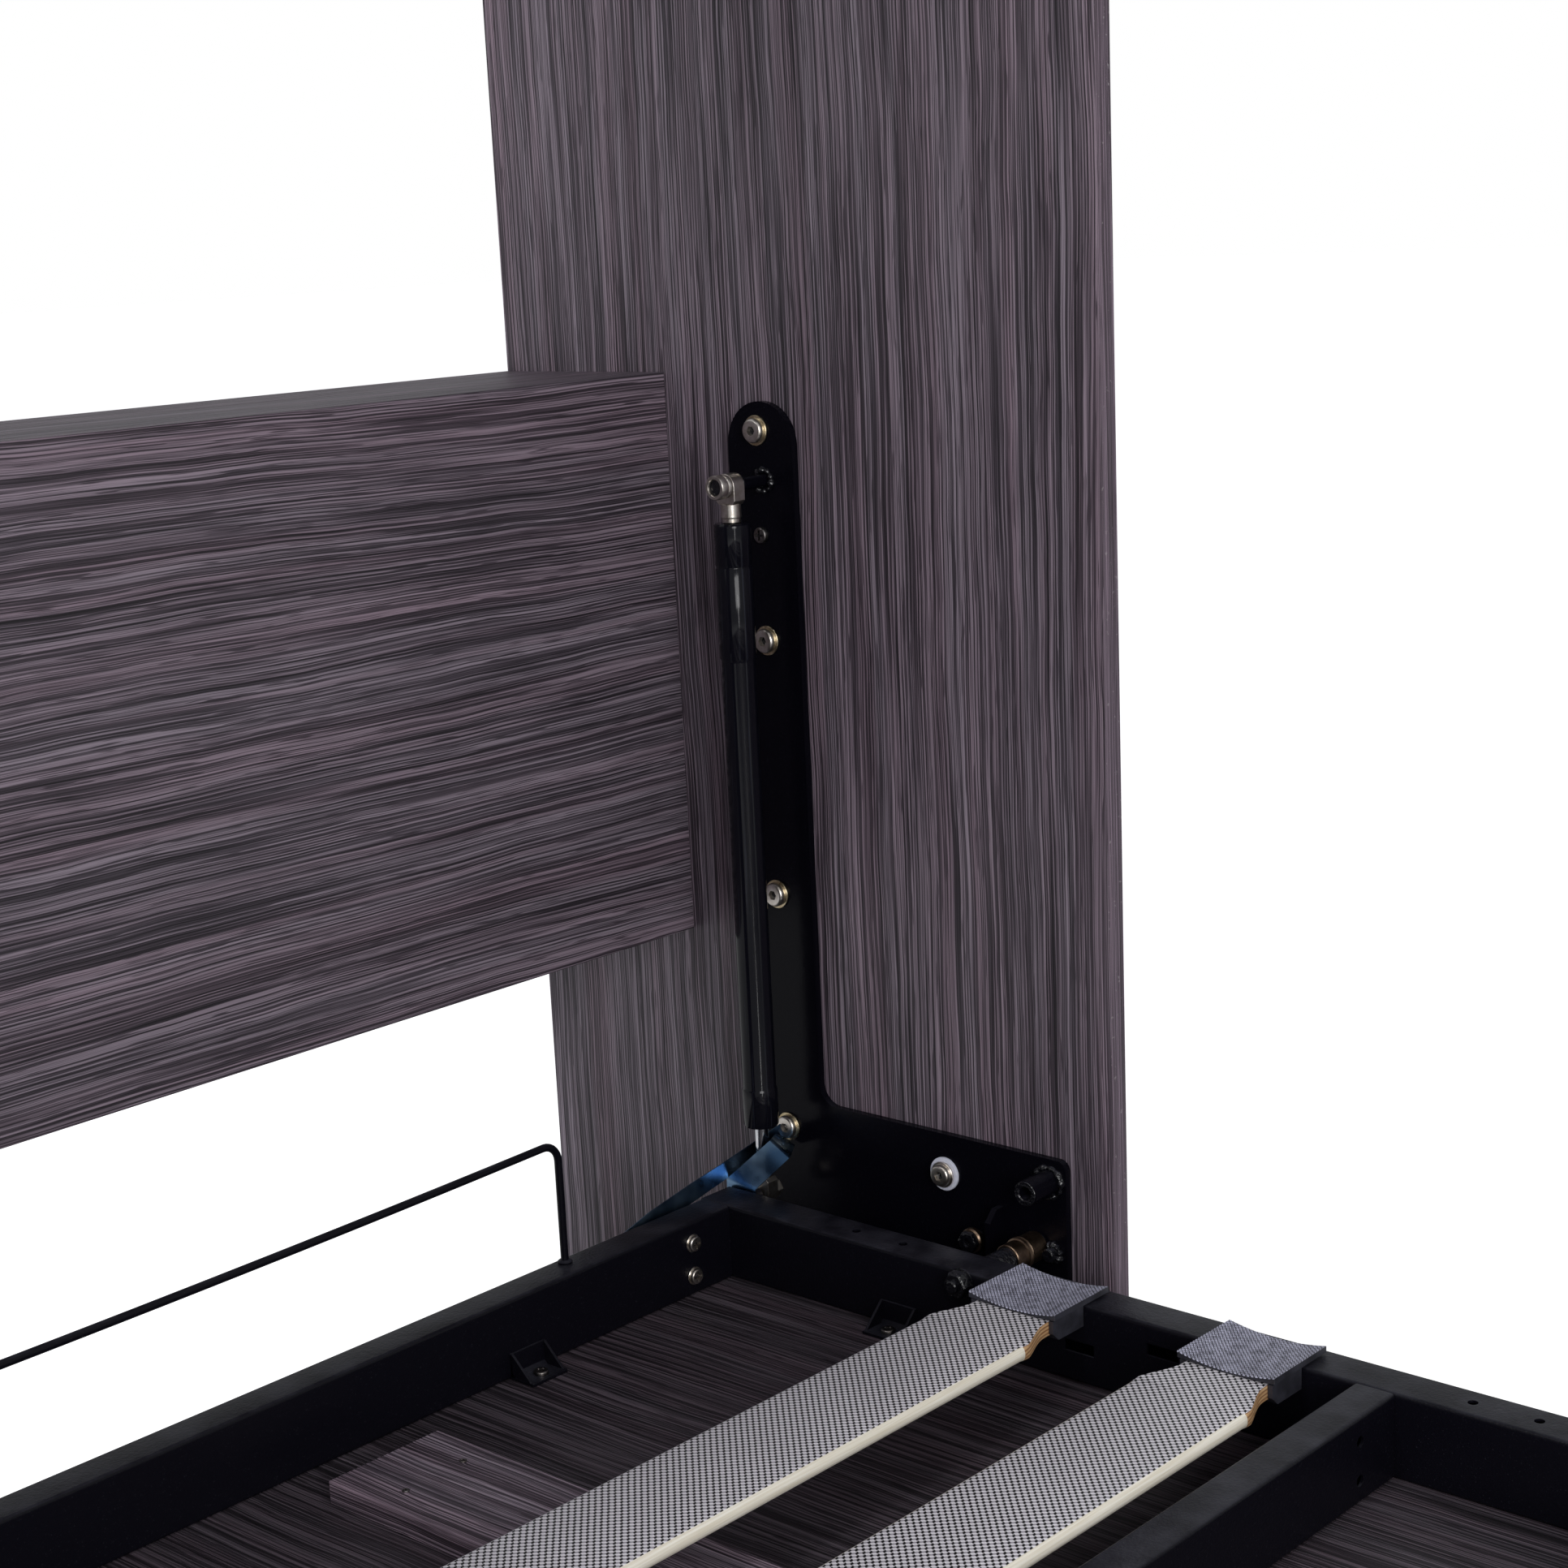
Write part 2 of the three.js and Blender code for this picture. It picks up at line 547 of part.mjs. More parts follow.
const legPinZ = frontBottom - LEG.drop;
const legPinY = fromWall(OPEN_DEPTH - LEG.fromFoot);

function legFrame() {
  const { width, wall, span } = LEG;
  const half = width / 2;
  const inner = half - wall;
  const posts = (reach, low, high) => [-1, 1].map((side) => {
    const x = side * (span / 2 - half);
    return block([x - reach, legPinY - reach, low], [x + reach, legPinY + reach, high]);
  });
  const foot = block([-span / 2, legPinY - half, 0], [span / 2, legPinY + half, width]);
  const bore = block([-span / 2 + wall, legPinY - inner, wall],
    [span / 2 - wall, legPinY + inner, width - wall]);
  const top = legPinZ + half;
  const hollow = join([bore, ...posts(inner, wall, top + OVERRUN)]);
  const pins = [-1, 1].map((side) => {
    const x = side * (span / 2 - half);
    return barAlongX(LEG_PIN + RUNNING, x - width, x + width, legPinY, legPinZ, 16);
  });
  return cut(join([foot, ...posts(half, 0, top)]), [hollow, ...pins]);
}

// a bent bracket with its pin, screwed to the front board beside the leg
function legBracket(side) {
  const { thickness, length, gap } = BRACKET;
  const outer = side * (LEG.span / 2 + gap);
  const ear = inOrder(outer, outer + side * thickness);
  const flange = inOrder(outer, outer + side * length);
  const half = length / 2;
  const top = frontBottom - TOUCH;
  const pin = inOrder(side * (LEG.span / 2 - LEG.width), outer + side * OVERRUN);
  return join([
    block([flange[0], legPinY - half, top - thickness], [flange[1], legPinY + half, top]),
    block([ear[0], legPinY - half, legPinZ - LEG_PIN - BRACKET.ear], [ear[1], legPinY + half, top]),
    barAlongX(LEG_PIN, ...pin, legPinY, legPinZ, 16),
  ]);
}

add('leg_frame', legFrame(), blackPowder);
for (const [name, side] of SIDES) add(`leg_bracket_${name}`, legBracket(side), blackPowder);

export default bed;
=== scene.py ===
# A wall bed, folded down: cabinet, sprung steel frame, gas springs, slats, panelled front and leg.
# Metres, +Z up, +Y to the wall; sizes of small parts are in millimetres, as on a workshop drawing.
import json
import math
import bmesh
import bpy
import numpy as np
from mathutils import Euler, Matrix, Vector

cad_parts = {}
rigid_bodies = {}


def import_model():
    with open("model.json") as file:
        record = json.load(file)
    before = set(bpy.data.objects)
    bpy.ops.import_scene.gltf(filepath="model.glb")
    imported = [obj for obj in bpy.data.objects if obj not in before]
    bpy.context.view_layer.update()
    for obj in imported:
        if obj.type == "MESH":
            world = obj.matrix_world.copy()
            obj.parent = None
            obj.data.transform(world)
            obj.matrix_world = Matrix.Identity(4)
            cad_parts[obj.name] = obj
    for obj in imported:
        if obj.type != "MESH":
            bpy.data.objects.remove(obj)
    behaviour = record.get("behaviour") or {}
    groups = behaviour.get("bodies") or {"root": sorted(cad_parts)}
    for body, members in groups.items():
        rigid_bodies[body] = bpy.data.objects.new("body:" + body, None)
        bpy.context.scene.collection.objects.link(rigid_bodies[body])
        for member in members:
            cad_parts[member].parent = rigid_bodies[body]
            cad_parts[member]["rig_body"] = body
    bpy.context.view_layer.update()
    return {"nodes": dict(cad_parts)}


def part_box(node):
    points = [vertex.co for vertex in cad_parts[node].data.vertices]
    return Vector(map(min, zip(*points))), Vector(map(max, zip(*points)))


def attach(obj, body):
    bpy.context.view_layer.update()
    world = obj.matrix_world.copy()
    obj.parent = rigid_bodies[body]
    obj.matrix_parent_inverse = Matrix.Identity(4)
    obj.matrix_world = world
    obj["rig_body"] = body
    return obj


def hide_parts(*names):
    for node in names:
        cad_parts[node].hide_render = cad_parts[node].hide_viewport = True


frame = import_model()

# ---------------------------------------------------------------- camera, light and floor
# A long lens on a tall tripod inside the open bed, looking across it to the right-hand hinge. The
# room is pale: one soft lamp hangs over the headboard's left, one stands past the foot, and a
# narrow strip beyond the left side gives the gas spring its long glint.

CAMERA_PLACE = (-0.8013, -0.5733, 1.1096)
CAMERA_TURN = -47.67
CAMERA_TILT = -13.94
CAMERA_ROLL = -2.62
CAMERA_LENS = 62.21
CAMERA_SHIFT = (-0.0033, 0.0631)
FLOOR_COLOUR = (0.9, 0.9, 0.9)
FLOOR_GLOW = 0.66
FLOOR_REACH = 40.0
ROOM_COLOUR = (0.96, 0.98, 1, 1)
ROOM_LIGHT = 0.45

camera_data = bpy.data.cameras.new("camera")
camera_data.lens = CAMERA_LENS
camera_data.sensor_width = 36
camera_data.shift_x, camera_data.shift_y = CAMERA_SHIFT
camera_data.clip_start = 0.02
camera = bpy.data.objects.new("camera", camera_data)
bpy.context.scene.collection.objects.link(camera)
pan = Matrix.Rotation(math.radians(CAMERA_TURN), 4, "Z")
tilt = Matrix.Rotation(math.radians(90 + CAMERA_TILT), 4, "X")
roll = Matrix.Rotation(math.radians(CAMERA_ROLL), 4, "Z")
camera.matrix_world = Matrix.Translation(CAMERA_PLACE) @ pan @ tilt @ roll
bpy.context.scene.camera = camera


def aim_at(place, aim):
    """The turn that points an object's -Z axis from place to aim."""
    away = np.array(place, float) - np.array(aim, float)
    flat = math.hypot(away[0], away[1])
    return Euler((math.atan2(flat, away[2]), 0, math.atan2(away[1], away[0]) + math.pi / 2))


def lamp(name, place, aim, wide, high, power):
    """An area lamp at place whose -Z axis points at aim."""
    data = bpy.data.lights.new(name, "AREA")
    data.shape = "RECTANGLE"
    data.size = wide
    data.size_y = high
    data.energy = power
    made = bpy.data.objects.new(name, data)
    made.visible_camera = False
    bpy.context.scene.collection.objects.link(made)
    made.location = place
    made.rotation_euler = aim_at(place, aim)


lamp("key_lamp", (-1.7, 0.9, 3.2), (0.5, 0.5, 0.5), 1.5, 1.5, 62)
lamp("front_lamp", (-1.6, -2.6, 1.9), (0.5, 0.7, 0.8), 1.8, 1.8, 68)
lamp("strip_lamp", (-1.08, -2.05, 0.8), (0.7, 0.84, 0.8), 0.09, 1.5, 7)


def fill(tree, socket, value):
    """Joins an input to value when that is a socket, and sets a plain value on it."""
    if isinstance(value, bpy.types.NodeSocket):
        tree.links.new(value, socket)
    else:
        socket.default_value = value


def node(tree, kind, settings=None, **inputs):
    """Adds a shader node; an input given as a socket is joined, any other value is set."""
    made = tree.nodes.new("ShaderNode" + kind)
    for name, value in (settings or {}).items():
        setattr(made, name, value)
    for name, value in inputs.items():
        label = int(name[1:]) if name[1:].isdigit() else name.replace("_", " ")
        fill(tree, made.inputs[label], value)
    return made


world = bpy.data.worlds.new("studio")
bpy.context.scene.world = world
world.use_nodes = True
room = world.node_tree
room.nodes.clear()
seen = node(room, "Background", None, Color=(1, 1, 1, 1))
lit = node(room, "Background", None, Color=ROOM_COLOUR, Strength=ROOM_LIGHT)
either = node(room, "MixShader", None, i0=node(room, "LightPath").outputs["Is Camera Ray"],
              i1=lit.outputs[0], i2=seen.outputs[0])
node(room, "OutputWorld", None, Surface=either.outputs[0])
bpy.context.scene.view_settings.view_transform = "Standard"


def finish(name, colour, roughness, metallic=0.0, **settings):
    """A new material with one Principled shader; returns the material, its tree and the shader."""
    material = bpy.data.materials.new(name)
    material.use_nodes = True
    tree = material.node_tree
    tree.nodes.clear()
    shader = node(tree, "BsdfPrincipled", None, Base_Color=(*colour, 1), Roughness=roughness,
                  Metallic=metallic, **settings)
    node(tree, "OutputMaterial", None, Surface=shader.outputs[0])
    return material, tree, shader


floor_mesh = bpy.data.meshes.new("floor")
corners = [(x * FLOOR_REACH, y * FLOOR_REACH, 0) for x, y in ((-1, -1), (1, -1), (1, 1), (-1, 1))]
floor_mesh.from_pydata(corners, [], [(0, 1, 2, 3)])
floor = bpy.data.objects.new("floor", floor_mesh)
bpy.context.scene.collection.objects.link(floor)
floor_finish, floor_tree, floor_shader = finish("pale_floor", FLOOR_COLOUR, 0.9,
                                                Specular_IOR_Level=0.1, Emission_Color=(1, 1, 1, 1))
glow = node(floor_tree, "Math", {"operation": "MULTIPLY"}, i1=FLOOR_GLOW,
            i0=node(floor_tree, "LightPath").outputs["Is Camera Ray"])
floor_tree.links.new(glow.outputs[0], floor_shader.inputs["Emission Strength"])
floor_mesh.materials.append(floor_finish)

# ---------------------------------------------------------------- cabinet boards
# Chipboard faced with dark grey-brown oak laminate; the grain runs up the side panels and along
# the headboard and cross boards. Edges are banded, and the panels' front bands are a shade lighter.

MM = 0.001
WALL_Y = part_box("side_panel_right")[1].y
PANEL_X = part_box("side_panel_right")[0].x
FRAME_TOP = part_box("side_rail_right")[1].z
SIDES = (("left", -1), ("right", 1))
BOARD_EDGE = 0.0006


def shade(red, green, blue):
    """A colour given in the eight-bit steps of a colour card, as linear light."""
    steps = np.array([red, green, blue]) / 255
    low = steps / 12.92
    high = ((steps + 0.055) / 1.055) ** 2.4
    return tuple(float(v) for v in np.where(steps <= 0.04045, low, high))


def calc(tree, operation, *values):
    """One step of arithmetic on numbers or sockets."""
    named = {f"i{place}": value for place, value in enumerate(values)}
    return node(tree, "Math", {"operation": operation}, **named).outputs[0]


def object_place(tree):
    """Each point's place in the piece's own frame, in metres."""
    return node(tree, "TexCoord").outputs["Object"]


def feed(tree, shader, **sockets):
    """Joins sockets to a shader's inputs of the same names."""
    for name, socket in sockets.items():
        tree.links.new(socket, shader.inputs[name.replace("_", " ")])


def noise(tree, vector, scale=1.0, detail=3.0, roughness=0.55):
    """Cloudy noise between 0 and 1."""
    return node(tree, "TexNoise", None, Vector=vector, Scale=scale, Detail=detail,
                Roughness=roughness).outputs["Fac"]


def ramp(tree, value, *stops):
    """A blend through (position, grey level) stops."""
    made = node(tree, "ValToRGB", None, Fac=value)
    elements = made.color_ramp.elements
    for (position, level), element in zip(stops, [elements[0], elements[1]]):
        element.position = position
        element.color = (level, level, level, 1)
    for position, level in stops[2:]:
        elements.new(position).color = (level, level, level, 1)
    return made.outputs["Color"]


def blend_colours(tree, factor, first, second, kind="MIX"):
    """Goes from the first colour to the second as factor goes from 0 to 1."""
    first = first if isinstance(first, bpy.types.NodeSocket) else (*first, 1)
    second = second if isinstance(second, bpy.types.NodeSocket) else (*second, 1)
    made = node(tree, "Mix", {"data_type": "RGBA", "blend_type": kind}, i0=factor, i6=first, i7=second)
    return made.outputs[2]


def shared_effect(name, inputs, outputs):
    """A shader node group with named sockets; returns the tree, its input node and its output node."""
    group = bpy.data.node_groups.new(name, "ShaderNodeTree")
    for label, kind in inputs.items():
        group.interface.new_socket(name=label, in_out="INPUT", socket_type="NodeSocket" + kind)
    for label, kind in outputs.items():
        group.interface.new_socket(name=label, in_out="OUTPUT", socket_type="NodeSocket" + kind)
    return group, group.nodes.new("NodeGroupInput"), group.nodes.new("NodeGroupOutput")


def placed_effect(tree, group, **inputs):
    """Puts a shared effect into a material's tree."""
    made = tree.nodes.new("ShaderNodeGroup")
    made.node_tree = group
    for name, value in inputs.items():
        fill(tree, made.inputs[name], value)
    return made


def oak_grain_effect():
    """Oak grain: streaks of noise drawn out along Z, bent by slow waves, over broad bands."""
    tree, given, made = shared_effect(
        "oak_grain",
        {"Vector": "Vector", "Dark": "Color", "Middle": "Color", "Light": "Color", "Warm": "Color"},
        {"Color": "Color", "Height": "Float", "Roughness": "Float"})
    parts = node(tree, "SeparateXYZ", None, i0=given.outputs["Vector"])
    along = parts.outputs["Z"]
    across = calc(tree, "ADD", parts.outputs["X"], parts.outputs["Y"])

    def streaks(wide, long, seed, detail=2.0, roughness=0.5):
        """Noise stretched so that its cells are 1/wide metres across and 1/long metres along."""
        vector = node(tree, "CombineXYZ", None, X=calc(tree, "MULTIPLY", across, wide), Y=seed,
                      Z=calc(tree, "MULTIPLY", along, long)).outputs[0]
        return noise(tree, vector, 1.0, detail, roughness)

    slow = calc(tree, "MULTIPLY_ADD", streaks(3.0, 0.9, 4.3), 0.04, -0.02)
    quick = calc(tree, "MULTIPLY_ADD", streaks(16.0, 7.0, 8.1), 0.006, -0.003)
    across = calc(tree, "ADD", calc(tree, "ADD", across, slow), quick)
    bands = ramp(tree, streaks(110.0, 0.5, 1.7, 3.0), (0.34, 0.0), (0.66, 1.0))
    lines = ramp(tree, streaks(700.0, 2.6, 2.9, 1.0, 0.5), (0.42, 0.0), (0.54, 1.0))
    fine = ramp(tree, streaks(1500.0, 8.0, 5.5, 1.0, 0.6), (0.42, 0.0), (0.56, 1.0))
    pores = ramp(tree, streaks(760.0, 22.0, 6.6, 1.0), (0.3, 0.0), (0.37, 1.0))
    value = calc(tree, "MULTIPLY", lines, 0.5)
    value = calc(tree, "MULTIPLY_ADD", fine, 0.34, value)
    value = calc(tree, "MULTIPLY_ADD", bands, 0.16, value)
    value = calc(tree, "MULTIPLY", value, calc(tree, "MULTIPLY_ADD", pores, 0.5, 0.5))
    low = calc(tree, "MULTIPLY", value, 2.0)
    low.node.use_clamp = True
    high = calc(tree, "MULTIPLY_ADD", value, 2.0, -1.0)
    high.node.use_clamp = True
    colour = blend_colours(tree, low, given.outputs["Dark"], given.outputs["Middle"])
    colour = blend_colours(tree, high, colour, given.outputs["Light"])
    drift = ramp(tree, streaks(60.0, 1.0, 9.7, 3.0), (0.4, 0.0), (0.66, 0.8))
    colour = blend_colours(tree, drift, colour,
                           blend_colours(tree, 1.0, colour, given.outputs["Warm"], "MULTIPLY"))
    tree.links.new(colour, made.inputs["Color"])
    tree.links.new(value, made.inputs["Height"])
    tree.links.new(calc(tree, "MULTIPLY_ADD", fine, -0.14, 0.56), made.inputs["Roughness"])
    return tree


OAK_GRAIN = oak_grain_effect()
ALONG_UPRIGHT = (0, 0, math.pi / 2)
ALONG_WIDTH = (0, math.pi / 2, 0)
ALONG_BED = (math.pi / 2, 0, 0)
OAK_TONES = {"Dark": (22, 18, 24), "Middle": (76, 68, 77), "Light": (150, 138, 150)}
OAK_WARMTH = (1.03, 0.9, 0.93, 1)
BAND_TONES = {"Dark": (34, 26, 33), "Middle": (84, 70, 82), "Light": (146, 128, 144)}
BAND_WARMTH = (1.0, 0.95, 0.93, 1)


def bumped(tree, shader, height, distance):
    """Feeds a height through a Bump node to a shader's Normal."""
    bump = node(tree, "Bump", None, Distance=distance, Height=height)
    feed(tree, shader, Normal=bump.outputs[0])


def grained(tree, tones, warmth, lift, **mapping):
    """The oak grain in a material's tree, turned and scaled by a Mapping node; lift brightens it."""
    mapped = node(tree, "Mapping", None, Vector=object_place(tree), **mapping).outputs[0]
    lifted = {label: (*(lift * v for v in shade(*tone)), 1) for label, tone in tones.items()}
    return placed_effect(tree, OAK_GRAIN, Vector=mapped, Warm=warmth, **lifted)


def oak_laminate(name, turn, shift=(0, 0, 0), lift=1.0):
    """Dark oak laminate whose grain lies along the board once turned; lift brightens all its tones."""
    material, tree, shader = finish(name, shade(76, 69, 77), 0.5, Specular_IOR_Level=0.42)
    grain = grained(tree, OAK_TONES, OAK_WARMTH, lift, Rotation=turn, Location=shift)
    feed(tree, shader, Base_Color=grain.outputs["Color"], Roughness=grain.outputs["Roughness"])
    bumped(tree, shader, grain.outputs["Height"], 0.00022)
    return material


def joined_copy(name):
    """A CAD piece's points and faces, with its loose triangles joined and flat faces made whole."""
    source = frame["nodes"][name].data
    mesh = bmesh.new()
    points = [mesh.verts.new(v.co) for v in source.vertices]
    for face in source.polygons:
        mesh.faces.new([points[i] for i in face.vertices])
    bmesh.ops.remove_doubles(mesh, verts=mesh.verts, dist=1e-5)
    bmesh.ops.dissolve_limit(mesh, angle_limit=math.radians(1), verts=mesh.verts, edges=mesh.edges)
    return mesh


def new_piece(name, shape, materials, crisp, body, replaced=(), edge=0.0):
    """An object of a shape: smooth across edges flatter than crisp, its sharper edges eased by edge."""
    mesh = bpy.data.meshes.new(name)
    shape.to_mesh(mesh)
    shape.free()
    for material in materials:
        mesh.materials.append(material)
    mesh.polygons.foreach_set("use_smooth", np.ones(len(mesh.polygons), bool))
    mesh.set_sharp_from_angle(angle=math.radians(crisp))
    piece = bpy.data.objects.new(name, mesh)
    bpy.context.scene.collection.objects.link(piece)
    if edge:
        bevel = piece.modifiers.new("eased edges", "BEVEL")
        bevel.width = edge
        bevel.segments = 2
        bevel.limit_method = "ANGLE"
        bevel.angle_limit = math.radians(crisp)
        bevel.harden_normals = True
    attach(piece, body)
    if replaced:
        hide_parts(*replaced)


def eased(name, materials, edge, zone=None):
    """Stands in for a CAD piece with the same piece, its edges eased; zone(face) picks the material."""
    copy = joined_copy(name)
    if zone:
        for face in copy.faces:
            face.material_index = zone(face)
    new_piece(name + "_eased", copy, materials, 35, frame["nodes"][name]["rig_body"], (name,),
              edge)


def edge_band_laminate():
    """The panels' front band: finer, lighter lines with small bright nicks along its corners."""
    material, tree, shader = finish("oak_edge_band", shade(89, 81, 87), 0.5, Specular_IOR_Level=0.42)
    grain = grained(tree, BAND_TONES, BAND_WARMTH, 1.0, Rotation=ALONG_UPRIGHT, Scale=(2, 2, 1))
    chips = ramp(tree, noise(tree, object_place(tree), 260.0, 2.0), (0.68, 0.0), (0.74, 0.7))
    feed(tree, shader, Base_Color=blend_colours(tree, chips, grain.outputs["Color"],
                                                shade(150, 142, 146)))
    bumped(tree, shader, grain.outputs["Height"], 0.0002)
    return material


OAK_UPRIGHT = oak_laminate("oak_laminate_upright", ALONG_UPRIGHT)
OAK_HEADBOARD = oak_laminate("oak_laminate_headboard", ALONG_WIDTH, (0.31, 0, 0.4), 0.94)
OAK_EDGE_BAND = edge_band_laminate()

for side_name, side in SIDES:
    eased(f"side_panel_{side_name}", [OAK_UPRIGHT, OAK_EDGE_BAND], BOARD_EDGE,
          lambda face: 1 if face.normal.y < -0.9 else 0)
for board in ("top_panel", "toe_kick", "upper_rear_rail", "lower_rear_rail",
              "headboard_front", "headboard_shelf", "headboard_bottom"):
    eased(board, [OAK_HEADBOARD], BOARD_EDGE)

# ---------------------------------------------------------------- mechanism plates and their fixings
# An L of 6 mm steel, black coated, bolted inside each side panel; button-head bolts on broad washers
# hold it.
# A round boss and a stop lug are welded on, and a nylon washer sits under the lower bolt. The black
# discs in the bolt recesses are painted shade.

PLATE_FACE = 6.3
PLATE_BOLTS = ((283, 596), (285, 434), (283, 230), (284, 35))
NYLON_BOLT = (446, 28)
SMALL_SCREW = (284, 516)
BOSS = (546, 42)
SPRING_STUD = (289, 558)
REST_STUD = (549, -14)
LUG_BOLT = (478, -17)
WASHER = 11.6
BOLT_HEAD = 9.6
SOCKET = 3.5
OUT_OF_PLATE = (1, 0, 0)


def speckled_coat(name, colour, roughness, grain, bump, specks, **settings):
    """A black coat on steel: fine orange peel, a few pale specks, patches of uneven gloss, and pale
    patches on upward faces that are partly dust and partly painted sheen.
    """
    material, tree, shader = finish(name, colour, roughness, 0.0, **settings)
    place = object_place(tree)
    dots = ramp(tree, noise(tree, place, 900.0, 1.0), (0.7, 0.0), (0.78, specks))
    facing = node(tree, "SeparateXYZ", None, i0=node(tree, "TexCoord").outputs["Normal"])
    upward = ramp(tree, facing.outputs["Z"], (0.6, 0.0), (0.9, 1.0))
    # Pale patches on upward faces: partly dust, partly painted sheen.
    dust_and_sheen = ramp(tree, noise(tree, place, 26.0, 5.0, 0.65), (0.4, specks * 0.3), (0.7, specks * 1.6))
    shown = calc(tree, "MAXIMUM", dots, calc(tree, "MULTIPLY", dust_and_sheen, upward))
    patchy = calc(tree, "MULTIPLY_ADD", noise(tree, place, 9.0, 4.0), 0.24, roughness - 0.12)
    feed(tree, shader, Base_Color=blend_colours(tree, shown, colour, shade(96, 96, 108)),
         Roughness=patchy)
    bumped(tree, shader, noise(tree, place, grain, 2.0), bump)
    return material


def bright_metal(name, colour, roughness, tint):
    """Plated steel with faint blotches of tarnish and uneven gloss."""
    material, tree, shader = finish(name, colour, roughness, 1.0)
    place = object_place(tree)
    blotch = ramp(tree, noise(tree, place, 140.0, 4.0, 0.65), (0.4, 0.0), (0.7, 0.8))
    uneven = calc(tree, "MULTIPLY_ADD", noise(tree, place, 260.0, 2.0), 0.12, roughness - 0.06)
    feed(tree, shader, Base_Color=blend_colours(tree, blotch, colour, tint), Roughness=uneven)
    bumped(tree, shader, noise(tree, place, 500.0, 1.0), 0.00001)
    return material


def sheet(points, around=False):
    """Faces over a grid of points, row by row; around joins each row's last point to its first."""
    rows, columns = points.shape[:2]
    index = np.arange(rows * columns).reshape(rows, columns)
    right = np.roll(index, -1, 1) if around else index[:, 1:]
    left = index if around else index[:, :-1]
    faces = np.stack([left[:-1], right[:-1], right[1:], left[1:]], -1).reshape(-1, 4)
    return points.reshape(-1, 3), faces


def round_outline(angle):
    """A circle: the same reach all round."""
    return np.ones_like(angle)


def hexagon_outline(angle):
    """A hexagon: reach is 1 / cos of the angle from the nearest flat's middle."""
    return 1 / np.cos((angle % (math.pi / 3)) - math.pi / 6)


def cross_outline(angle):
    """A cross slot: reach is the arm's end or its side, whichever is nearer."""
    turn = (angle + math.pi / 4) % (math.pi / 2) - math.pi / 4
    return np.minimum(1 / np.cos(turn), 0.24 / np.maximum(np.abs(np.sin(turn)), 1e-6))


def turned(profile, sides=40, outline=round_outline, shaped=()):
    """Carries (radius, height) points round an upright axis; rings in shaped follow the outline."""
    angle = np.linspace(0, 2 * math.pi, sides, endpoint=False)
    radius, height = np.array(profile, float).T
    reach = radius[:, None] * np.ones(sides)
    for ring in shaped:
        reach[ring] *= outline(angle)
    points = np.stack([reach * np.cos(angle), reach * np.sin(angle),
                       np.repeat(height[:, None], sides, 1)], -1)
    return sheet(points, around=True)


def aimed(solid, axis, place):
    """Lays an upright solid along an axis (from panel, from wall, over frame top), at a place."""
    points, faces = solid
    up = np.array(axis, float)
    side_way = np.cross(up, (0, 0, 1) if abs(up[2]) < 0.9 else (1, 0, 0))
    side_way /= np.linalg.norm(side_way)
    turn = np.stack([side_way, np.cross(up, side_way), up])
    return points @ turn + np.array(place, float), faces


def washer(outer, inner, thickness):
    """A flat ring with eased edges, closed through its hole."""
    ease = 0.15 * thickness
    return turned([(inner, 0), (outer - ease, 0), (outer, ease), (outer, thickness - ease),
                   (outer - ease, thickness), (inner, thickness), (inner, 0)], 40)


def button_head(radius, height, socket, outline, depth):
    """A bolt head: a recess of the given outline in a flat crown; the rim falls as a circle does."""
    crown = max(0.78 * radius, 1.2 * socket)
    rim = [(crown + (radius - crown) * math.sin(t), height * (0.4 + 0.6 * math.cos(t)))
           for t in np.linspace(0, math.pi / 2, 6)]
    profile = [(0, height - depth), (0.82 * socket, height - depth), (socket, height), *rim,
               (radius, 0), (0, 0)]
    return turned(profile, 48, outline, (1, 2))


def fixed_head(place, axis, radius, height, socket, outline, bright, dark):
    """A bolt head in place, and a black disc on the floor of its recess as painted shade; bright and
    dark are material numbers.
    """
    depth = 0.7 * height
    # The disc stands for the recess's shade, painted in a dark finish.
    floor = turned([(0, 0), (0.85 * socket, 0), (0.85 * socket, 0.15), (0, 0.15)], 48, outline, (1, 2))
    lift = np.array(place, float) + (height - depth) * np.array(axis, float)
    return [(aimed(button_head(radius, height, socket, outline, depth), axis, place), bright),
            (aimed(floor, axis, lift), dark)]


def weld_bead(place, radius, thickness, seed):
    """A lumpy ring of weld in the plate's plane: its section's radius ripples with the angle."""
    angle = np.linspace(0, 2 * math.pi, 60, endpoint=False)[:, None]
    section = np.linspace(0, 2 * math.pi, 10, endpoint=False)[None, :]
    ripple = thickness * (1 + 0.3 * np.sin(3 * angle + seed) + 0.24 * np.sin(10 * angle + 2 * seed))
    reach = radius + 0.6 * ripple * np.cos(section)
    out_of_plate = 0.2 * thickness + 0.7 * ripple * np.sin(section)
    points = np.stack([place[0] + out_of_plate, place[1] + reach * np.cos(angle),
                       place[2] + reach * np.sin(angle)], -1)
    points = np.concatenate([points, points[:1]])
    return sheet(points, around=True)


def block(low, high):
    """A plain block from its lowest to its highest corner, before its edges are eased."""
    x, y, z = zip(low, high)
    points = np.array([(x[i], y[j], z[k]) for i in (0, 1) for j in (0, 1) for k in (0, 1)], float)
    faces = np.array([(0, 1, 3, 2), (4, 6, 7, 5), (0, 4, 5, 1), (2, 3, 7, 6), (0, 2, 6, 4),
                      (1, 5, 7, 3)])
    return points, faces


def prism(outline, along, start, stop):
    """Carries a flat outline (two coordinates) from start to stop along one axis (0, 1 or 2)."""
    flat = np.array(outline, float)
    count = len(flat)
    ends = [np.insert(flat, along, reach, axis=1) for reach in (start, stop)]
    ring = np.arange(count)
    walls = np.stack([ring, (ring + 1) % count, (ring + 1) % count + count, ring + count], -1)
    return np.concatenate(ends), [tuple(ring), *map(tuple, walls), tuple(ring[::-1] + count)]


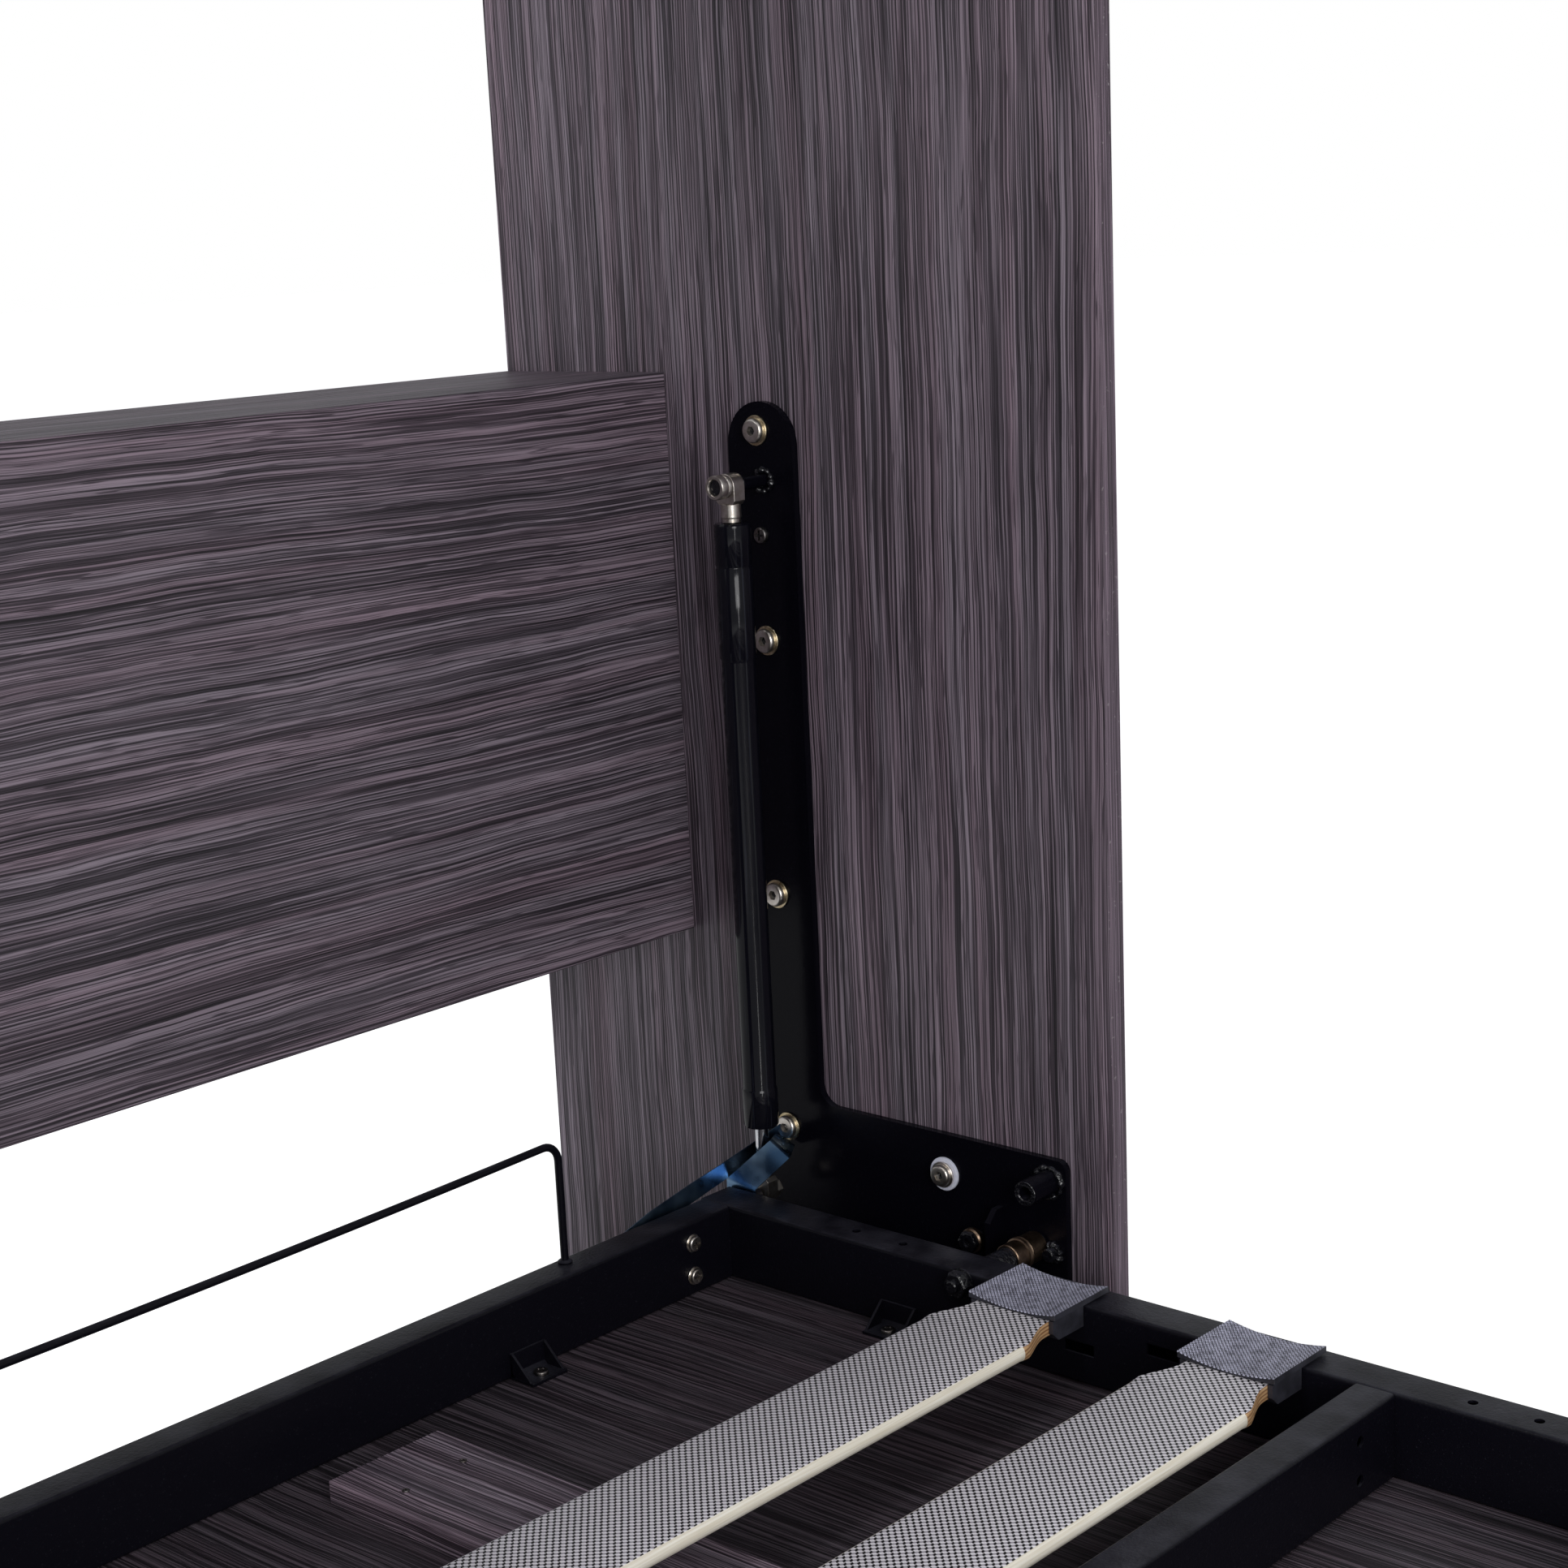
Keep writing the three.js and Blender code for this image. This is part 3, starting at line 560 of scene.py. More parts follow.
def to_frame(points, side):
    """Millimetres from (side panel, wall, frame's top) to metres in the room; side -1 mirrors them."""
    a, d, z = np.asarray(points, float).T
    return np.stack([side * (PANEL_X - a * MM), WALL_Y - d * MM, FRAME_TOP + z * MM], -1)


def made_piece(name, body, solids, materials, side=1, replaced=(), crisp=38, edge=0.0):
    """One object from solids (points, faces, material number), drawn in millimetres on one side."""
    shape = bmesh.new()
    for (points, faces), index in solids:
        corners = [shape.verts.new(p) for p in to_frame(points, side)]
        for face in faces:
            made = shape.faces.new([corners[i] for i in face])
            made.material_index = index
    bmesh.ops.remove_doubles(shape, verts=shape.verts, dist=1e-6)
    bmesh.ops.recalc_face_normals(shape, faces=shape.faces)
    new_piece(name, shape, materials, crisp, body, replaced, edge * MM)


PLATE_BLACK = speckled_coat("plate_black", (0.0024, 0.0022, 0.0045), 0.22, 60.0, 0.00012, 0.06,
                            Specular_IOR_Level=0.08)
WELD_BLACK = speckled_coat("weld_black", (0.004, 0.004, 0.006), 0.13, 260.0, 0.0016, 0.2)
BRIGHT_STEEL = bright_metal("bright_steel", (0.68, 0.64, 0.6), 0.3, (0.46, 0.4, 0.33))
BRONZE = bright_metal("worn_bronze", (0.24, 0.17, 0.12), 0.34, (0.09, 0.06, 0.045))
YELLOW_ZINC = bright_metal("yellow_zinc", (0.62, 0.53, 0.36), 0.28, (0.4, 0.3, 0.16))
DARK_STEEL = bright_metal("dark_steel", (0.2, 0.19, 0.19), 0.35, (0.1, 0.08, 0.07))


def nylon():
    """White nylon, slightly cloudy."""
    material, tree, shader = finish("white_nylon", shade(214, 216, 232), 0.45)
    cloud = noise(tree, object_place(tree), 300.0, 3.0)
    feed(tree, shader, Base_Color=blend_colours(tree, cloud, shade(196, 198, 220),
                                                shade(232, 234, 244)))
    return material


NYLON = nylon()

for side_name, side in SIDES:
    eased(f"mechanism_plate_{side_name}", [PLATE_BLACK], 0.0007)
    fixings = []
    # Bolt and screw heads below get a weld-black disc on their recess floors: painted shade.
    for bolt in PLATE_BOLTS:
        fixings.append((aimed(washer(WASHER, 4, 1.6), OUT_OF_PLATE, (PLATE_FACE, *bolt)), 4))
        fixings += fixed_head((PLATE_FACE + 1.6, *bolt), OUT_OF_PLATE, BOLT_HEAD, 5.0, SOCKET,
                              hexagon_outline, 0, 3)
    fixings.append((aimed(washer(13.4, 4, 2.6), OUT_OF_PLATE, (PLATE_FACE, *NYLON_BOLT)), 2))
    fixings.append((aimed(washer(10.4, 4, 2.2), OUT_OF_PLATE, (PLATE_FACE + 2.6, *NYLON_BOLT)), 0))
    fixings += fixed_head((PLATE_FACE + 4.8, *NYLON_BOLT), OUT_OF_PLATE, 8.8, 4.4, 3.6,
                          hexagon_outline, 0, 3)
    fixings += fixed_head((PLATE_FACE, *SMALL_SCREW), OUT_OF_PLATE, 6.4, 3.6, 4.0, cross_outline, 1, 3)
    made_piece(f"plate_fixings_{side_name}", "cabinet", fixings,
               [BRIGHT_STEEL, DARK_STEEL, NYLON, WELD_BLACK, YELLOW_ZINC], side)

    lug = [(PLATE_FACE, -32), (24, -32), (24, 4), (15, 13), (PLATE_FACE, 13)]
    stop_lug = [(prism(lug, 1, 497, 502), 0)]
    for profile, sides, outline, shaped, start, place, finish_number in (
            ([(4, 0), (8.6, 0), (9.8, 1.4), (9.8, 5), (8.6, 6.4), (4, 6.4), (4, 0)], 40,
             round_outline, (), 12, LUG_BOLT, 2),
            ([(0, 0), (7.6, 0), (7.6, 4.4), (6.8, 5), (3.2, 5), (2.8, 3.4), (0, 3.4)], 36,
             hexagon_outline, (1, 2, 3), 18.4, LUG_BOLT, 1),
            ([(0, 0), (5, 0), (5, 12), (0, 12)], 24, round_outline, (), PLATE_FACE, LUG_BOLT, 1),
            ([(0, 0), (5.5, 0), (5.5, 8), (4.6, 9), (0, 9)], 24, round_outline, (), PLATE_FACE,
             REST_STUD, 1),
            ([(6.2, -0.2), (9, -0.2), (9.6, 0.5), (9.2, 1.2), (6.2, 1.2), (5.2, 0.4), (6.2, -0.2)],
             40, round_outline, (), PLATE_FACE + 30, BOSS, 1)):
        solid = turned(profile, sides, outline, shaped)
        stop_lug.append((aimed(solid, OUT_OF_PLATE, (start, *place)), finish_number))
    for place, radius, thickness, seed in ((BOSS, 11.6, 3.8, 0.4), (SPRING_STUD, 8.2, 3.6, 1.9),
                                           (REST_STUD, 6.0, 4.4, 2.7)):
        stop_lug.append((weld_bead((PLATE_FACE, *place), radius, thickness, seed), 1))
    made_piece(f"plate_lug_{side_name}", "cabinet", stop_lug,
               [PLATE_BLACK, WELD_BLACK, BRONZE], side, edge=0.5)

# ---------------------------------------------------------------- gas springs
# A gloss-black cylinder with a chromed rod hangs from a stud on each plate. Plated eyes are screwed on
# at both ends; the upper one is kept by a ring nut, the lower one sits on a stud of the side rail.

SPRING_X = 45.0
SPRING_D, UPPER_STUD = SPRING_STUD
LOWER_STUD = -9.0


def gloss_black():
    """Gloss black stove enamel with faint long scuffs."""
    material, tree, shader = finish("spring_black", (0.003, 0.004, 0.009), 0.12,
                                    Specular_IOR_Level=0.24)
    place = object_place(tree)
    long = node(tree, "Mapping", None, Vector=place, Scale=(400, 400, 9)).outputs[0]
    scuffs = ramp(tree, noise(tree, long, 1.0, 2.0), (0.6, 0.0), (0.75, 0.35))
    feed(tree, shader,
         Base_Color=blend_colours(tree, scuffs, (0.004, 0.004, 0.007), shade(54, 56, 68)),
         Roughness=calc(tree, "MULTIPLY_ADD", noise(tree, place, 80.0), 0.1, 0.06))
    return material


SPRING_BLACK = gloss_black()
CHROME = bright_metal("chromed_rod", (0.78, 0.79, 0.82), 0.12, (0.6, 0.6, 0.64))

CYLINDER_PROFILE = [
    (0, 530), (12.6, 530), (14.1, 528.6), (14.3, 527), (14.3, 498.5), (13.6, 497.6), (13.6, 496.4),
    (14.3, 495.5), (14.3, 427), (13.6, 425.6), (13.4, 424), (13.4, 81), (13.9, 79.5), (14.3, 78.4),
    (14.3, 50), (13.4, 48.3), (12, 48), (0, 48)]
ROD_PROFILE = [(0, 15.3), (5.5, 15.3), (5.5, 500), (0, 500)]
STUD_NUT = [(6.2, 0), (8.4, 0), (9.0, 0.8), (8.6, 2.4), (7.8, 3), (7.8, 4), (9.4, 5), (9.4, 10.6),
            (8.8, 11.4), (6.6, 11.4), (6.2, 10.8), (6.2, 0)]
STUD_END = [(0, 0), (6.1, 0), (6.1, 9.2), (5.4, 9.8), (0, 9.8)]
LOWER_NUT = [(0, 0), (6.6, 0), (6.6, 7), (5.8, 8), (3.4, 8), (2.8, 7), (0, 7)]


def rod_eye(centre, root, nut_length):
    """A plated eye: a flat tongue with a rounded end, and a round neck that screws to the spring."""
    towards = 1 if root > centre else -1
    arc = np.linspace(0, math.pi, 15)
    tongue = [(SPRING_D + 9.5 * math.cos(t), centre - towards * 9.5 * math.sin(t)) for t in arc]
    tongue += [(SPRING_D - 9.5, centre + towards * 11), (SPRING_D - 7, centre + towards * 14),
               (SPRING_D + 7, centre + towards * 14), (SPRING_D + 9.5, centre + towards * 11)]
    neck_start = centre + towards * 13
    length = abs(root - neck_start)
    nut = length - nut_length
    neck = turned([(0, 0), (6.6, 0), (7.8, 0.8), (7.8, nut), (7.2, nut + 0.6), (7.2, length),
                   (0, length)], 40)
    return [(prism(tongue, 0, SPRING_X - 6, SPRING_X + 6), 0),
            (aimed(neck, (0, 0, towards), (SPRING_X, SPRING_D, neck_start)), 0)]


for side_name, side in SIDES:
    cylinder_body = f"spring_cylinder_{side_name}"
    rod_body = f"spring_rod_{side_name}"
    made_piece(f"gas_cylinder_{side_name}_tube", cylinder_body,
               [(aimed(turned(CYLINDER_PROFILE, 56), (0, 0, 1), (SPRING_X, SPRING_D, 0)), 0)],
               [SPRING_BLACK], side, (f"gas_cylinder_{side_name}",))
    made_piece(f"gas_upper_eye_{side_name}_end", cylinder_body, rod_eye(UPPER_STUD, 530.3, 4),
               [BRIGHT_STEEL], side, (f"gas_upper_eye_{side_name}",), edge=0.7)
    made_piece(f"gas_rod_{side_name}_chrome", rod_body,
               [(aimed(turned(ROD_PROFILE, 40), (0, 0, 1), (SPRING_X, SPRING_D, 0)), 0)],
               [CHROME], side, (f"gas_rod_{side_name}",))
    made_piece(f"gas_lower_eye_{side_name}_end", rod_body, rod_eye(LOWER_STUD, 15.0, 3),
               [BRIGHT_STEEL], side, (f"gas_lower_eye_{side_name}",), edge=0.7)
    stud_ends = [(aimed(solid, OUT_OF_PLATE, (SPRING_X + lift, *SPRING_STUD)), number)
                 for solid, lift, number in ((turned(STUD_NUT, 48), 6.3, 0),
                                             (turned(STUD_END, 32), 6.3, 1),
                                             (washer(9, 6.2, 1.2), -7.6, 1))]
    made_piece(f"upper_stud_nut_{side_name}", "cabinet", stud_ends,
               [BRIGHT_STEEL, WELD_BLACK], side)
    lower_nut = aimed(turned(LOWER_NUT, 36, hexagon_outline, (1, 2)), (-1, 0, 0),
                      (SPRING_X - 7, SPRING_D, LOWER_STUD))
    made_piece(f"lower_stud_nut_{side_name}", rod_body, [(lower_nut, 0)], [BRIGHT_STEEL],
               side)

# ---------------------------------------------------------------- pivots
# A worn bronze bush on the pivot pin of each side rail turns in the mechanism plate. It has a raised
# rim against the plate, and a black nut holds the pin on the rail's inner face.

PIVOT = (533, -11)
PIVOT_NUT = (103.2, 537, -8)
PIN_PROFILE = [(0, 0.3), (9.6, 0.3), (9.6, 67.7), (0, 67.7)]
BUSH_PROFILE = [(9.7, 8), (11, 8), (11.5, 8.5), (11.5, 25), (12.4, 25.6), (12.6, 26.6), (11.9, 27.6),
                (11.9, 28.2), (12.6, 29), (12.4, 30.2), (11.2, 30.8), (11.2, 43), (10.6, 43.6),
                (9.7, 43.6), (9.7, 8)]
NUT_PROFILE = [(0, 0), (11, 0), (11, 1.6), (9, 1.8), (9, 9), (8, 10.2), (5, 10.2), (5, 13), (4, 14),
               (0, 14)]

for side_name, side in SIDES:
    made_piece(f"pivot_pin_{side_name}_bush", "bed_frame",
               [(aimed(turned(BUSH_PROFILE, 64), OUT_OF_PLATE, (0, *PIVOT)), 0),
                (aimed(turned(PIN_PROFILE, 56), OUT_OF_PLATE, (0, *PIVOT)), 1)],
               [BRONZE, WELD_BLACK], side, (f"pivot_pin_{side_name}",))
    nut = turned(NUT_PROFILE, 36, hexagon_outline, (3, 4, 5))
    made_piece(f"pivot_nut_{side_name}", "bed_frame",
               [(aimed(nut, OUT_OF_PLATE, PIVOT_NUT), 0)], [WELD_BLACK], side)

# ---------------------------------------------------------------- steel bed frame
# Welded from 60 mm deep steel tube and powder coated black. Plastic plugs close the side rails, and
# bent tabs hold the front boards; two plated cross-head screws fix the stop wire behind the head rail.

POWDER_BLACK = speckled_coat("powder_black", (0.0036, 0.0033, 0.0062), 0.34, 420.0, 0.00025, 0.16,
                             Specular_IOR_Level=0.16)
RAIL_INNER = 103.0
HEAD_RAIL_INNER = 304.2
TUBE_DEPTH = 60.0
HEAD_TABS = (324,)
SIDE_TABS = (476, 1130, 1800)
CORNER_SCREWS = (-17, -44)
RAIL_ENDS = (272.4, 2234.1)

for tube in ("head_rail", "foot_rail", "cross_tube_1", "cross_tube_2", "cross_tube_3",
             "side_rail_left", "side_rail_right"):
    eased(tube, [POWDER_BLACK], 0.0004)


def rail_tab(distance, inward, middle, along_rail):
    """A bent tab: a foot on the board, a back on the rail and two gussets, 2 mm thick."""
    foot, back, half, thick = 24, 20, 17, 2.2
    bend = [(0, 0), (foot, 0), (foot, thick), (thick + 3, thick), (thick, thick + 3), (thick, back),
            (0, back)]
    gusset = [(0, thick), (foot - 3, thick), (thick, back)]
    solids = []
    for outline, start, stop in ((bend, -half, half), (gusset, -half, -half + thick),
                                 (gusset, half - thick, half)):
        points, faces = prism(outline, 1, start, stop)
        reach, wide_way, high = points.T
        if along_rail:
            placed = np.stack([inward + reach, distance + wide_way, high - TUBE_DEPTH], -1)
        else:
            placed = np.stack([middle + wide_way, distance + reach, high - TUBE_DEPTH], -1)
        solids.append(((placed, faces), 0))
    screw_place = ((inward + 14, distance, thick - TUBE_DEPTH) if along_rail
                   else (middle, distance + 14, thick - TUBE_DEPTH))
    solids.append((aimed(button_head(5.6, 3.0, 3.2, cross_outline, 1.8), (0, 0, 1), screw_place), 1))
    return solids


for side_name, side in SIDES:
    tabs = []
    for middle in HEAD_TABS:
        tabs += rail_tab(HEAD_RAIL_INNER, 0, middle, False)
    for distance in SIDE_TABS:
        tabs += rail_tab(distance, RAIL_INNER + 0.2, 0, True)
    made_piece(f"front_tabs_{side_name}", "bed_frame", tabs,
               [POWDER_BLACK, DARK_STEEL], side, edge=0.5)

    screws = []
    for height in CORNER_SCREWS:
        screws.append((aimed(washer(7.2, 3, 1.0), (0, 1, 0), (146, HEAD_RAIL_INNER, height)), 0))
        # The recess floors take the weld black: painted shade.
        screws += fixed_head((146, HEAD_RAIL_INNER + 1, height), (0, 1, 0), 6.2, 3.4, 4.2,
                             cross_outline, 0, 1)
    made_piece(f"head_rail_screws_{side_name}", "bed_frame", screws,
               [BRIGHT_STEEL, WELD_BLACK], side)

    plugs = [(block((68.6, end, -59.4), (102.4, end + 1.5, -0.6)), 0) for end in RAIL_ENDS]
    made_piece(f"rail_plugs_{side_name}", "bed_frame", plugs, [WELD_BLACK], side,
               edge=0.8)

# ---------------------------------------------------------------- slats
# Birch plywood, 91 mm wide and 11 mm thick, rounded along both long edges and cut to a narrower
# tongue at each end. The top is faced with pale film, printed with a twill of slanted dark marks.

SLAT_HALF = 45.5
TONGUE_HALF = 32.0
SLAT_THICK = 11.0
SHOULDER_START = 38.0
SHOULDER_RUN = 45.0
EDGE_STEPS = 9
TWILL_PITCH = 0.0057
PLY = 0.0028
SLATS = range(1, 8)


def woven_film():
    """Pale film with a printed twill: jagged dark columns on the slant, with light threads between."""
    material, tree, shader = finish("slat_film", shade(150, 146, 158), 0.42, Specular_IOR_Level=0.4)
    place = object_place(tree)
    sway = noise(tree, place, 30.0, 1.0)
    parts = node(tree, "SeparateXYZ", None, i0=place)
    x = calc(tree, "MULTIPLY_ADD", sway, 0.12, calc(tree, "DIVIDE", parts.outputs["X"], TWILL_PITCH))
    y = calc(tree, "DIVIDE", parts.outputs["Y"], TWILL_PITCH)

    def from_line(value):
        """How far a value is from the nearest whole number, with its sign."""
        return calc(tree, "SUBTRACT", calc(tree, "FRACT", calc(tree, "ADD", value, 0.5)), 0.5)

    rising = from_line(calc(tree, "ADD", x, y))
    falling = from_line(calc(tree, "SUBTRACT", x, y))
    wave = calc(tree, "COSINE", calc(tree, "MULTIPLY", rising, 2 * math.pi))
    slanted = calc(tree, "ABSOLUTE", calc(tree, "MULTIPLY_ADD", rising, -0.2, falling))
    past_edge = calc(tree, "SUBTRACT", slanted, calc(tree, "MULTIPLY_ADD", wave, 0.1, 0.16))
    dark = ramp(tree, calc(tree, "ADD", past_edge, 0.5), (0.47, 1.0), (0.53, 0.0))
    threads = ramp(tree, calc(tree, "MULTIPLY_ADD", wave, -0.5, 0.5), (0.1, 0.0), (0.9, 1.0))
    ground = blend_colours(tree, threads, shade(166, 160, 170), shade(244, 241, 246))
    grubby = ramp(tree, noise(tree, place, 12.0, 4.0), (0.3, 0.9), (0.7, 1.0))
    inked = blend_colours(tree, dark, ground, shade(10, 8, 12))
    feed(tree, shader, Base_Color=blend_colours(tree, 1.0, inked, grubby, "MULTIPLY"))
    bumped(tree, shader, calc(tree, "MULTIPLY", dark, -1.0), 0.00025)
    return material


def birch(name, pale, deep, layered):
    """Bare birch: long fine fibres along X; cut edges show their plies as bands of depth."""
    material, tree, shader = finish(name, pale, 0.6)
    place = object_place(tree)
    stretched = node(tree, "Mapping", None, Vector=place, Scale=(14, 700, 700)).outputs[0]
    fibres = ramp(tree, noise(tree, stretched, 1.0, 3.0, 0.6), (0.35, 0.0), (0.7, 1.0))
    colour = blend_colours(tree, fibres, deep, pale)
    if layered:
        height = node(tree, "SeparateXYZ", None, i0=place).outputs["Z"]
        plies = calc(tree, "SINE", calc(tree, "MULTIPLY", height, 2 * math.pi / PLY))
        plies = ramp(tree, plies, (0.1, 0.0), (0.4, 0.8))
        colour = blend_colours(tree, plies, colour, shade(126, 84, 54))
    feed(tree, shader, Base_Color=colour)
    bumped(tree, shader, fibres, 0.0001)
    return material


SLAT_FILM = woven_film()
SLAT_EDGE = birch("birch_edge", shade(244, 239, 228), shade(222, 213, 194), False)
SLAT_CUT = birch("birch_cut", shade(212, 178, 134), shade(178, 132, 88), True)


def slat_surface(centre_d, half_length):
    """A section carried along X: its half width takes a smooth step to the tongue, edges are round."""
    inward = np.concatenate([[0], np.linspace(SHOULDER_START - 36, SHOULDER_START, 5)[1:],
                             SHOULDER_START + SHOULDER_RUN * np.linspace(0, 1, 14)[1:],
                             np.linspace(100, half_length, 24)])
    from_end = np.concatenate([inward, 2 * half_length - inward[-2::-1]])
    near = np.minimum(from_end, 2 * half_length - from_end)
    step = np.clip((near - SHOULDER_START) / SHOULDER_RUN, 0, 1)
    step = step * step * (3 - 2 * step)
    half = TONGUE_HALF + (SLAT_HALF - TONGUE_HALF) * step
    cut = 1 - np.clip((near - SHOULDER_START - SHOULDER_RUN * 0.8) / (0.2 * SHOULDER_RUN), 0, 1)
    round_over = 5.4 - 4.8 * cut
    arc = np.linspace(0, math.pi, EDGE_STEPS)
    across = np.concatenate([np.sin(arc), -np.sin(arc)])
    down = np.concatenate([np.cos(arc), -np.cos(arc)])
    flat_side = np.repeat((1.0, -1.0), EDGE_STEPS)
    y = flat_side * (half - round_over)[:, None] + across * round_over[:, None]
    z = -SLAT_THICK / 2 + down * SLAT_THICK / 2
    a = PANEL_X / MM - half_length + from_end
    points = np.stack([np.repeat(a[:, None], len(down), 1), centre_d + y,
                       np.repeat(z[None, :], len(a), 0)], -1)
    ends = [np.broadcast_to(points[row].mean(0), (1, len(down), 3)) for row in (0, -1)]
    faces_cut = np.concatenate([[True], (cut[:-1] + cut[1:]) > 1, [True]])
    return np.concatenate([ends[0], points, ends[1]]), faces_cut


def slat_solids(centre_d, half_length):
    """Splits the slat's faces into film on top, rounded pale edges, and cut shoulders and tongues."""
    points, cut_rows = slat_surface(centre_d, half_length)
    vertices, faces = sheet(points, around=True)
    row, column = np.divmod(np.arange(len(faces)), 2 * EDGE_STEPS)
    end_row = (row == 0) | (row == len(cut_rows) - 1)
    top = np.isin(column, (0, 2 * EDGE_STEPS - 2, 2 * EDGE_STEPS - 1)) & ~end_row
    kind = np.where(top, 0, np.where(cut_rows[row], 2, 1))
    return [((vertices, faces[kind == number]), number) for number in range(3)]


def slat_place(number):
    """A slat's middle, in millimetres from the wall, and half its length."""
    low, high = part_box(f"slat_{number}")
    return (WALL_Y - (low.y + high.y) / 2) / MM, (high.x - low.x) / 2 / MM


for number in SLATS:
    made_piece(f"slat_{number}_board", "bed_frame", slat_solids(*slat_place(number)),
               [SLAT_FILM, SLAT_EDGE, SLAT_CUT], 1, (f"slat_{number}",))

# ---------------------------------------------------------------- slat caps
# Moulded dark rubber: a dished plate with a basket-weave top plugs into the rail, and the tapered
# pocket under it takes the slat's tongue.

CAP_INBOARD = 37.0
CAP_ON_RAIL = 28.0
CAP_HALF = 38.0
CAP_DISH = 4.2
CAP_TOP = 1.9
CAP_RIM = 0.5
CAP_STEPS = 17
POCKET_DEPTH = 15.0
POCKET_TAPER = 7.0
WEAVE_PITCH = 0.0023


def basket_weave():
    """Dark rubber with a fine weave: squares of ribs that change direction like a chessboard; the
    raised ribs are painted pale in patches, partly wear and partly painted highlights.
    """
    material, tree, shader = finish("cap_weave", shade(94, 93, 105), 0.55, Specular_IOR_Level=0.4)
    place = object_place(tree)
    turned_place = node(tree, "Mapping", None, Vector=place, Rotation=(0, 0, math.pi / 4)).outputs[0]
    parts = node(tree, "SeparateXYZ", None, i0=turned_place)
    x = calc(tree, "DIVIDE", parts.outputs["X"], WEAVE_PITCH)
    y = calc(tree, "DIVIDE", parts.outputs["Y"], WEAVE_PITCH)
    square = calc(tree, "ADD", calc(tree, "FLOOR", x), calc(tree, "FLOOR", y))
    odd = calc(tree, "MODULO", calc(tree, "ABSOLUTE", square), 2.0)
    rib_x = calc(tree, "ABSOLUTE", calc(tree, "SINE", calc(tree, "MULTIPLY", x, math.pi)))
    rib_y = calc(tree, "ABSOLUTE", calc(tree, "SINE", calc(tree, "MULTIPLY", y, math.pi)))
    apart = calc(tree, "SUBTRACT", rib_x, rib_y)
    height = calc(tree, "MULTIPLY_ADD", apart, odd, rib_y)
    # Pale raised ribs: partly wear, partly painted highlights.
    wear_and_highlight = calc(tree, "MULTIPLY_ADD", noise(tree, place, 160.0, 3.0), 1.2, 0.3)
    lit_and_worn_ribs = calc(tree, "MULTIPLY", height, wear_and_highlight)
    shown = ramp(tree, lit_and_worn_ribs, (0.3, 0.0), (0.95, 1.0))
    feed(tree, shader, Base_Color=blend_colours(tree, shown, shade(34, 33, 42), shade(196, 196, 218)))
    bumped(tree, shader, height, 0.0004)
    return material


def plain_rubber():
    """The moulding's smooth sides: near-black, with a dusty bloom."""
    material, tree, shader = finish("cap_rubber", shade(40, 40, 48), 0.5)
    place = object_place(tree)
    bloom = ramp(tree, noise(tree, place, 60.0, 4.0), (0.4, 0.0), (0.75, 0.5))
    feed(tree, shader, Base_Color=blend_colours(tree, bloom, shade(34, 34, 41), shade(74, 74, 86)))
    bumped(tree, shader, noise(tree, place, 500.0, 2.0), 0.00005)
    return material


CAP_WEAVE = basket_weave()
CAP_RUBBER = plain_rubber()


def cap_plate(rail_a, centre_d):
    """A thin plate over the rail: its top sinks in the middle as a parabola, its rim is rounded."""
    across = CAP_HALF * np.linspace(-1, 1, CAP_STEPS)
    top = CAP_TOP + CAP_DISH * (across / CAP_HALF) ** 2
    under = 0.3 + 0.35 * (top - CAP_TOP)
    outer, inner = rail_a - CAP_ON_RAIL, rail_a + CAP_INBOARD
    rows = []
    for a, drop, pinch in ((outer, 0.6, CAP_RIM), (outer + CAP_RIM, 0, 0), (inner - CAP_RIM, 0, 0),
                           (inner, 0.6, CAP_RIM)):
        spread = centre_d + across * (1 - pinch / CAP_HALF)
        upper = np.stack([np.full(CAP_STEPS, a), spread, top - drop], -1)
        lower = np.stack([np.full(CAP_STEPS, a), spread, under], -1)
        rows.append(np.concatenate([upper, lower[::-1]]))
    return np.array(rows)


def cap_solids(rail_a, centre_d):
    """The plate, with weave on top, and the pocket: a tapered trough open to the bed's middle."""
    vertices, faces = sheet(cap_plate(rail_a, centre_d), around=True)
    ring = 2 * CAP_STEPS
    weave = np.arange(len(faces)) % ring < CAP_STEPS - 1
    rims = [tuple(range(ring)), tuple(range(4 * ring - 1, 3 * ring - 1, -1))]
    solids = [((vertices, faces[weave]), 0), ((vertices, faces[~weave]), 1), ((vertices, rims), 1)]
    back, mouth, tip = rail_a + 0.5, rail_a + CAP_INBOARD - 0.6, rail_a + CAP_INBOARD - POCKET_TAPER
    wall = [(back, 0.3), (mouth, 0.3), (mouth, -9.0), (tip, -POCKET_DEPTH), (back, -POCKET_DEPTH)]
    for near, far in ((-36.0, -32.4), (32.4, 36.0)):
        solids.append((prism(wall, 1, centre_d + near, centre_d + far), 1))
    bottom = [(back, -11.5), (tip + 3.5, -11.5), (tip, -POCKET_DEPTH), (back, -POCKET_DEPTH)]
    solids.append((prism(bottom, 1, centre_d - 32.4, centre_d + 32.4), 1))
    return solids


for number in SLATS:
    for side_name, side in SIDES:
        made_piece(f"slat_cap_{number}_{side_name}_moulding", "bed_frame",
                   cap_solids(RAIL_INNER, slat_place(number)[0]),
                   [CAP_WEAVE, CAP_RUBBER], side, (f"slat_cap_{number}_{side_name}",))

# ---------------------------------------------------------------- mattress stop
# A 6 mm rod bent into a long low loop, coated black. Its posts stand in the head rail through small
# collars, and its top bar bows a little to the middle of the bed.

ROD = 3.0
POST_D = 284.0
POST_IN = 262.0
STOP_HEIGHT = 98.0
STOP_BEND = 14.0
STOP_BOW = 12.0


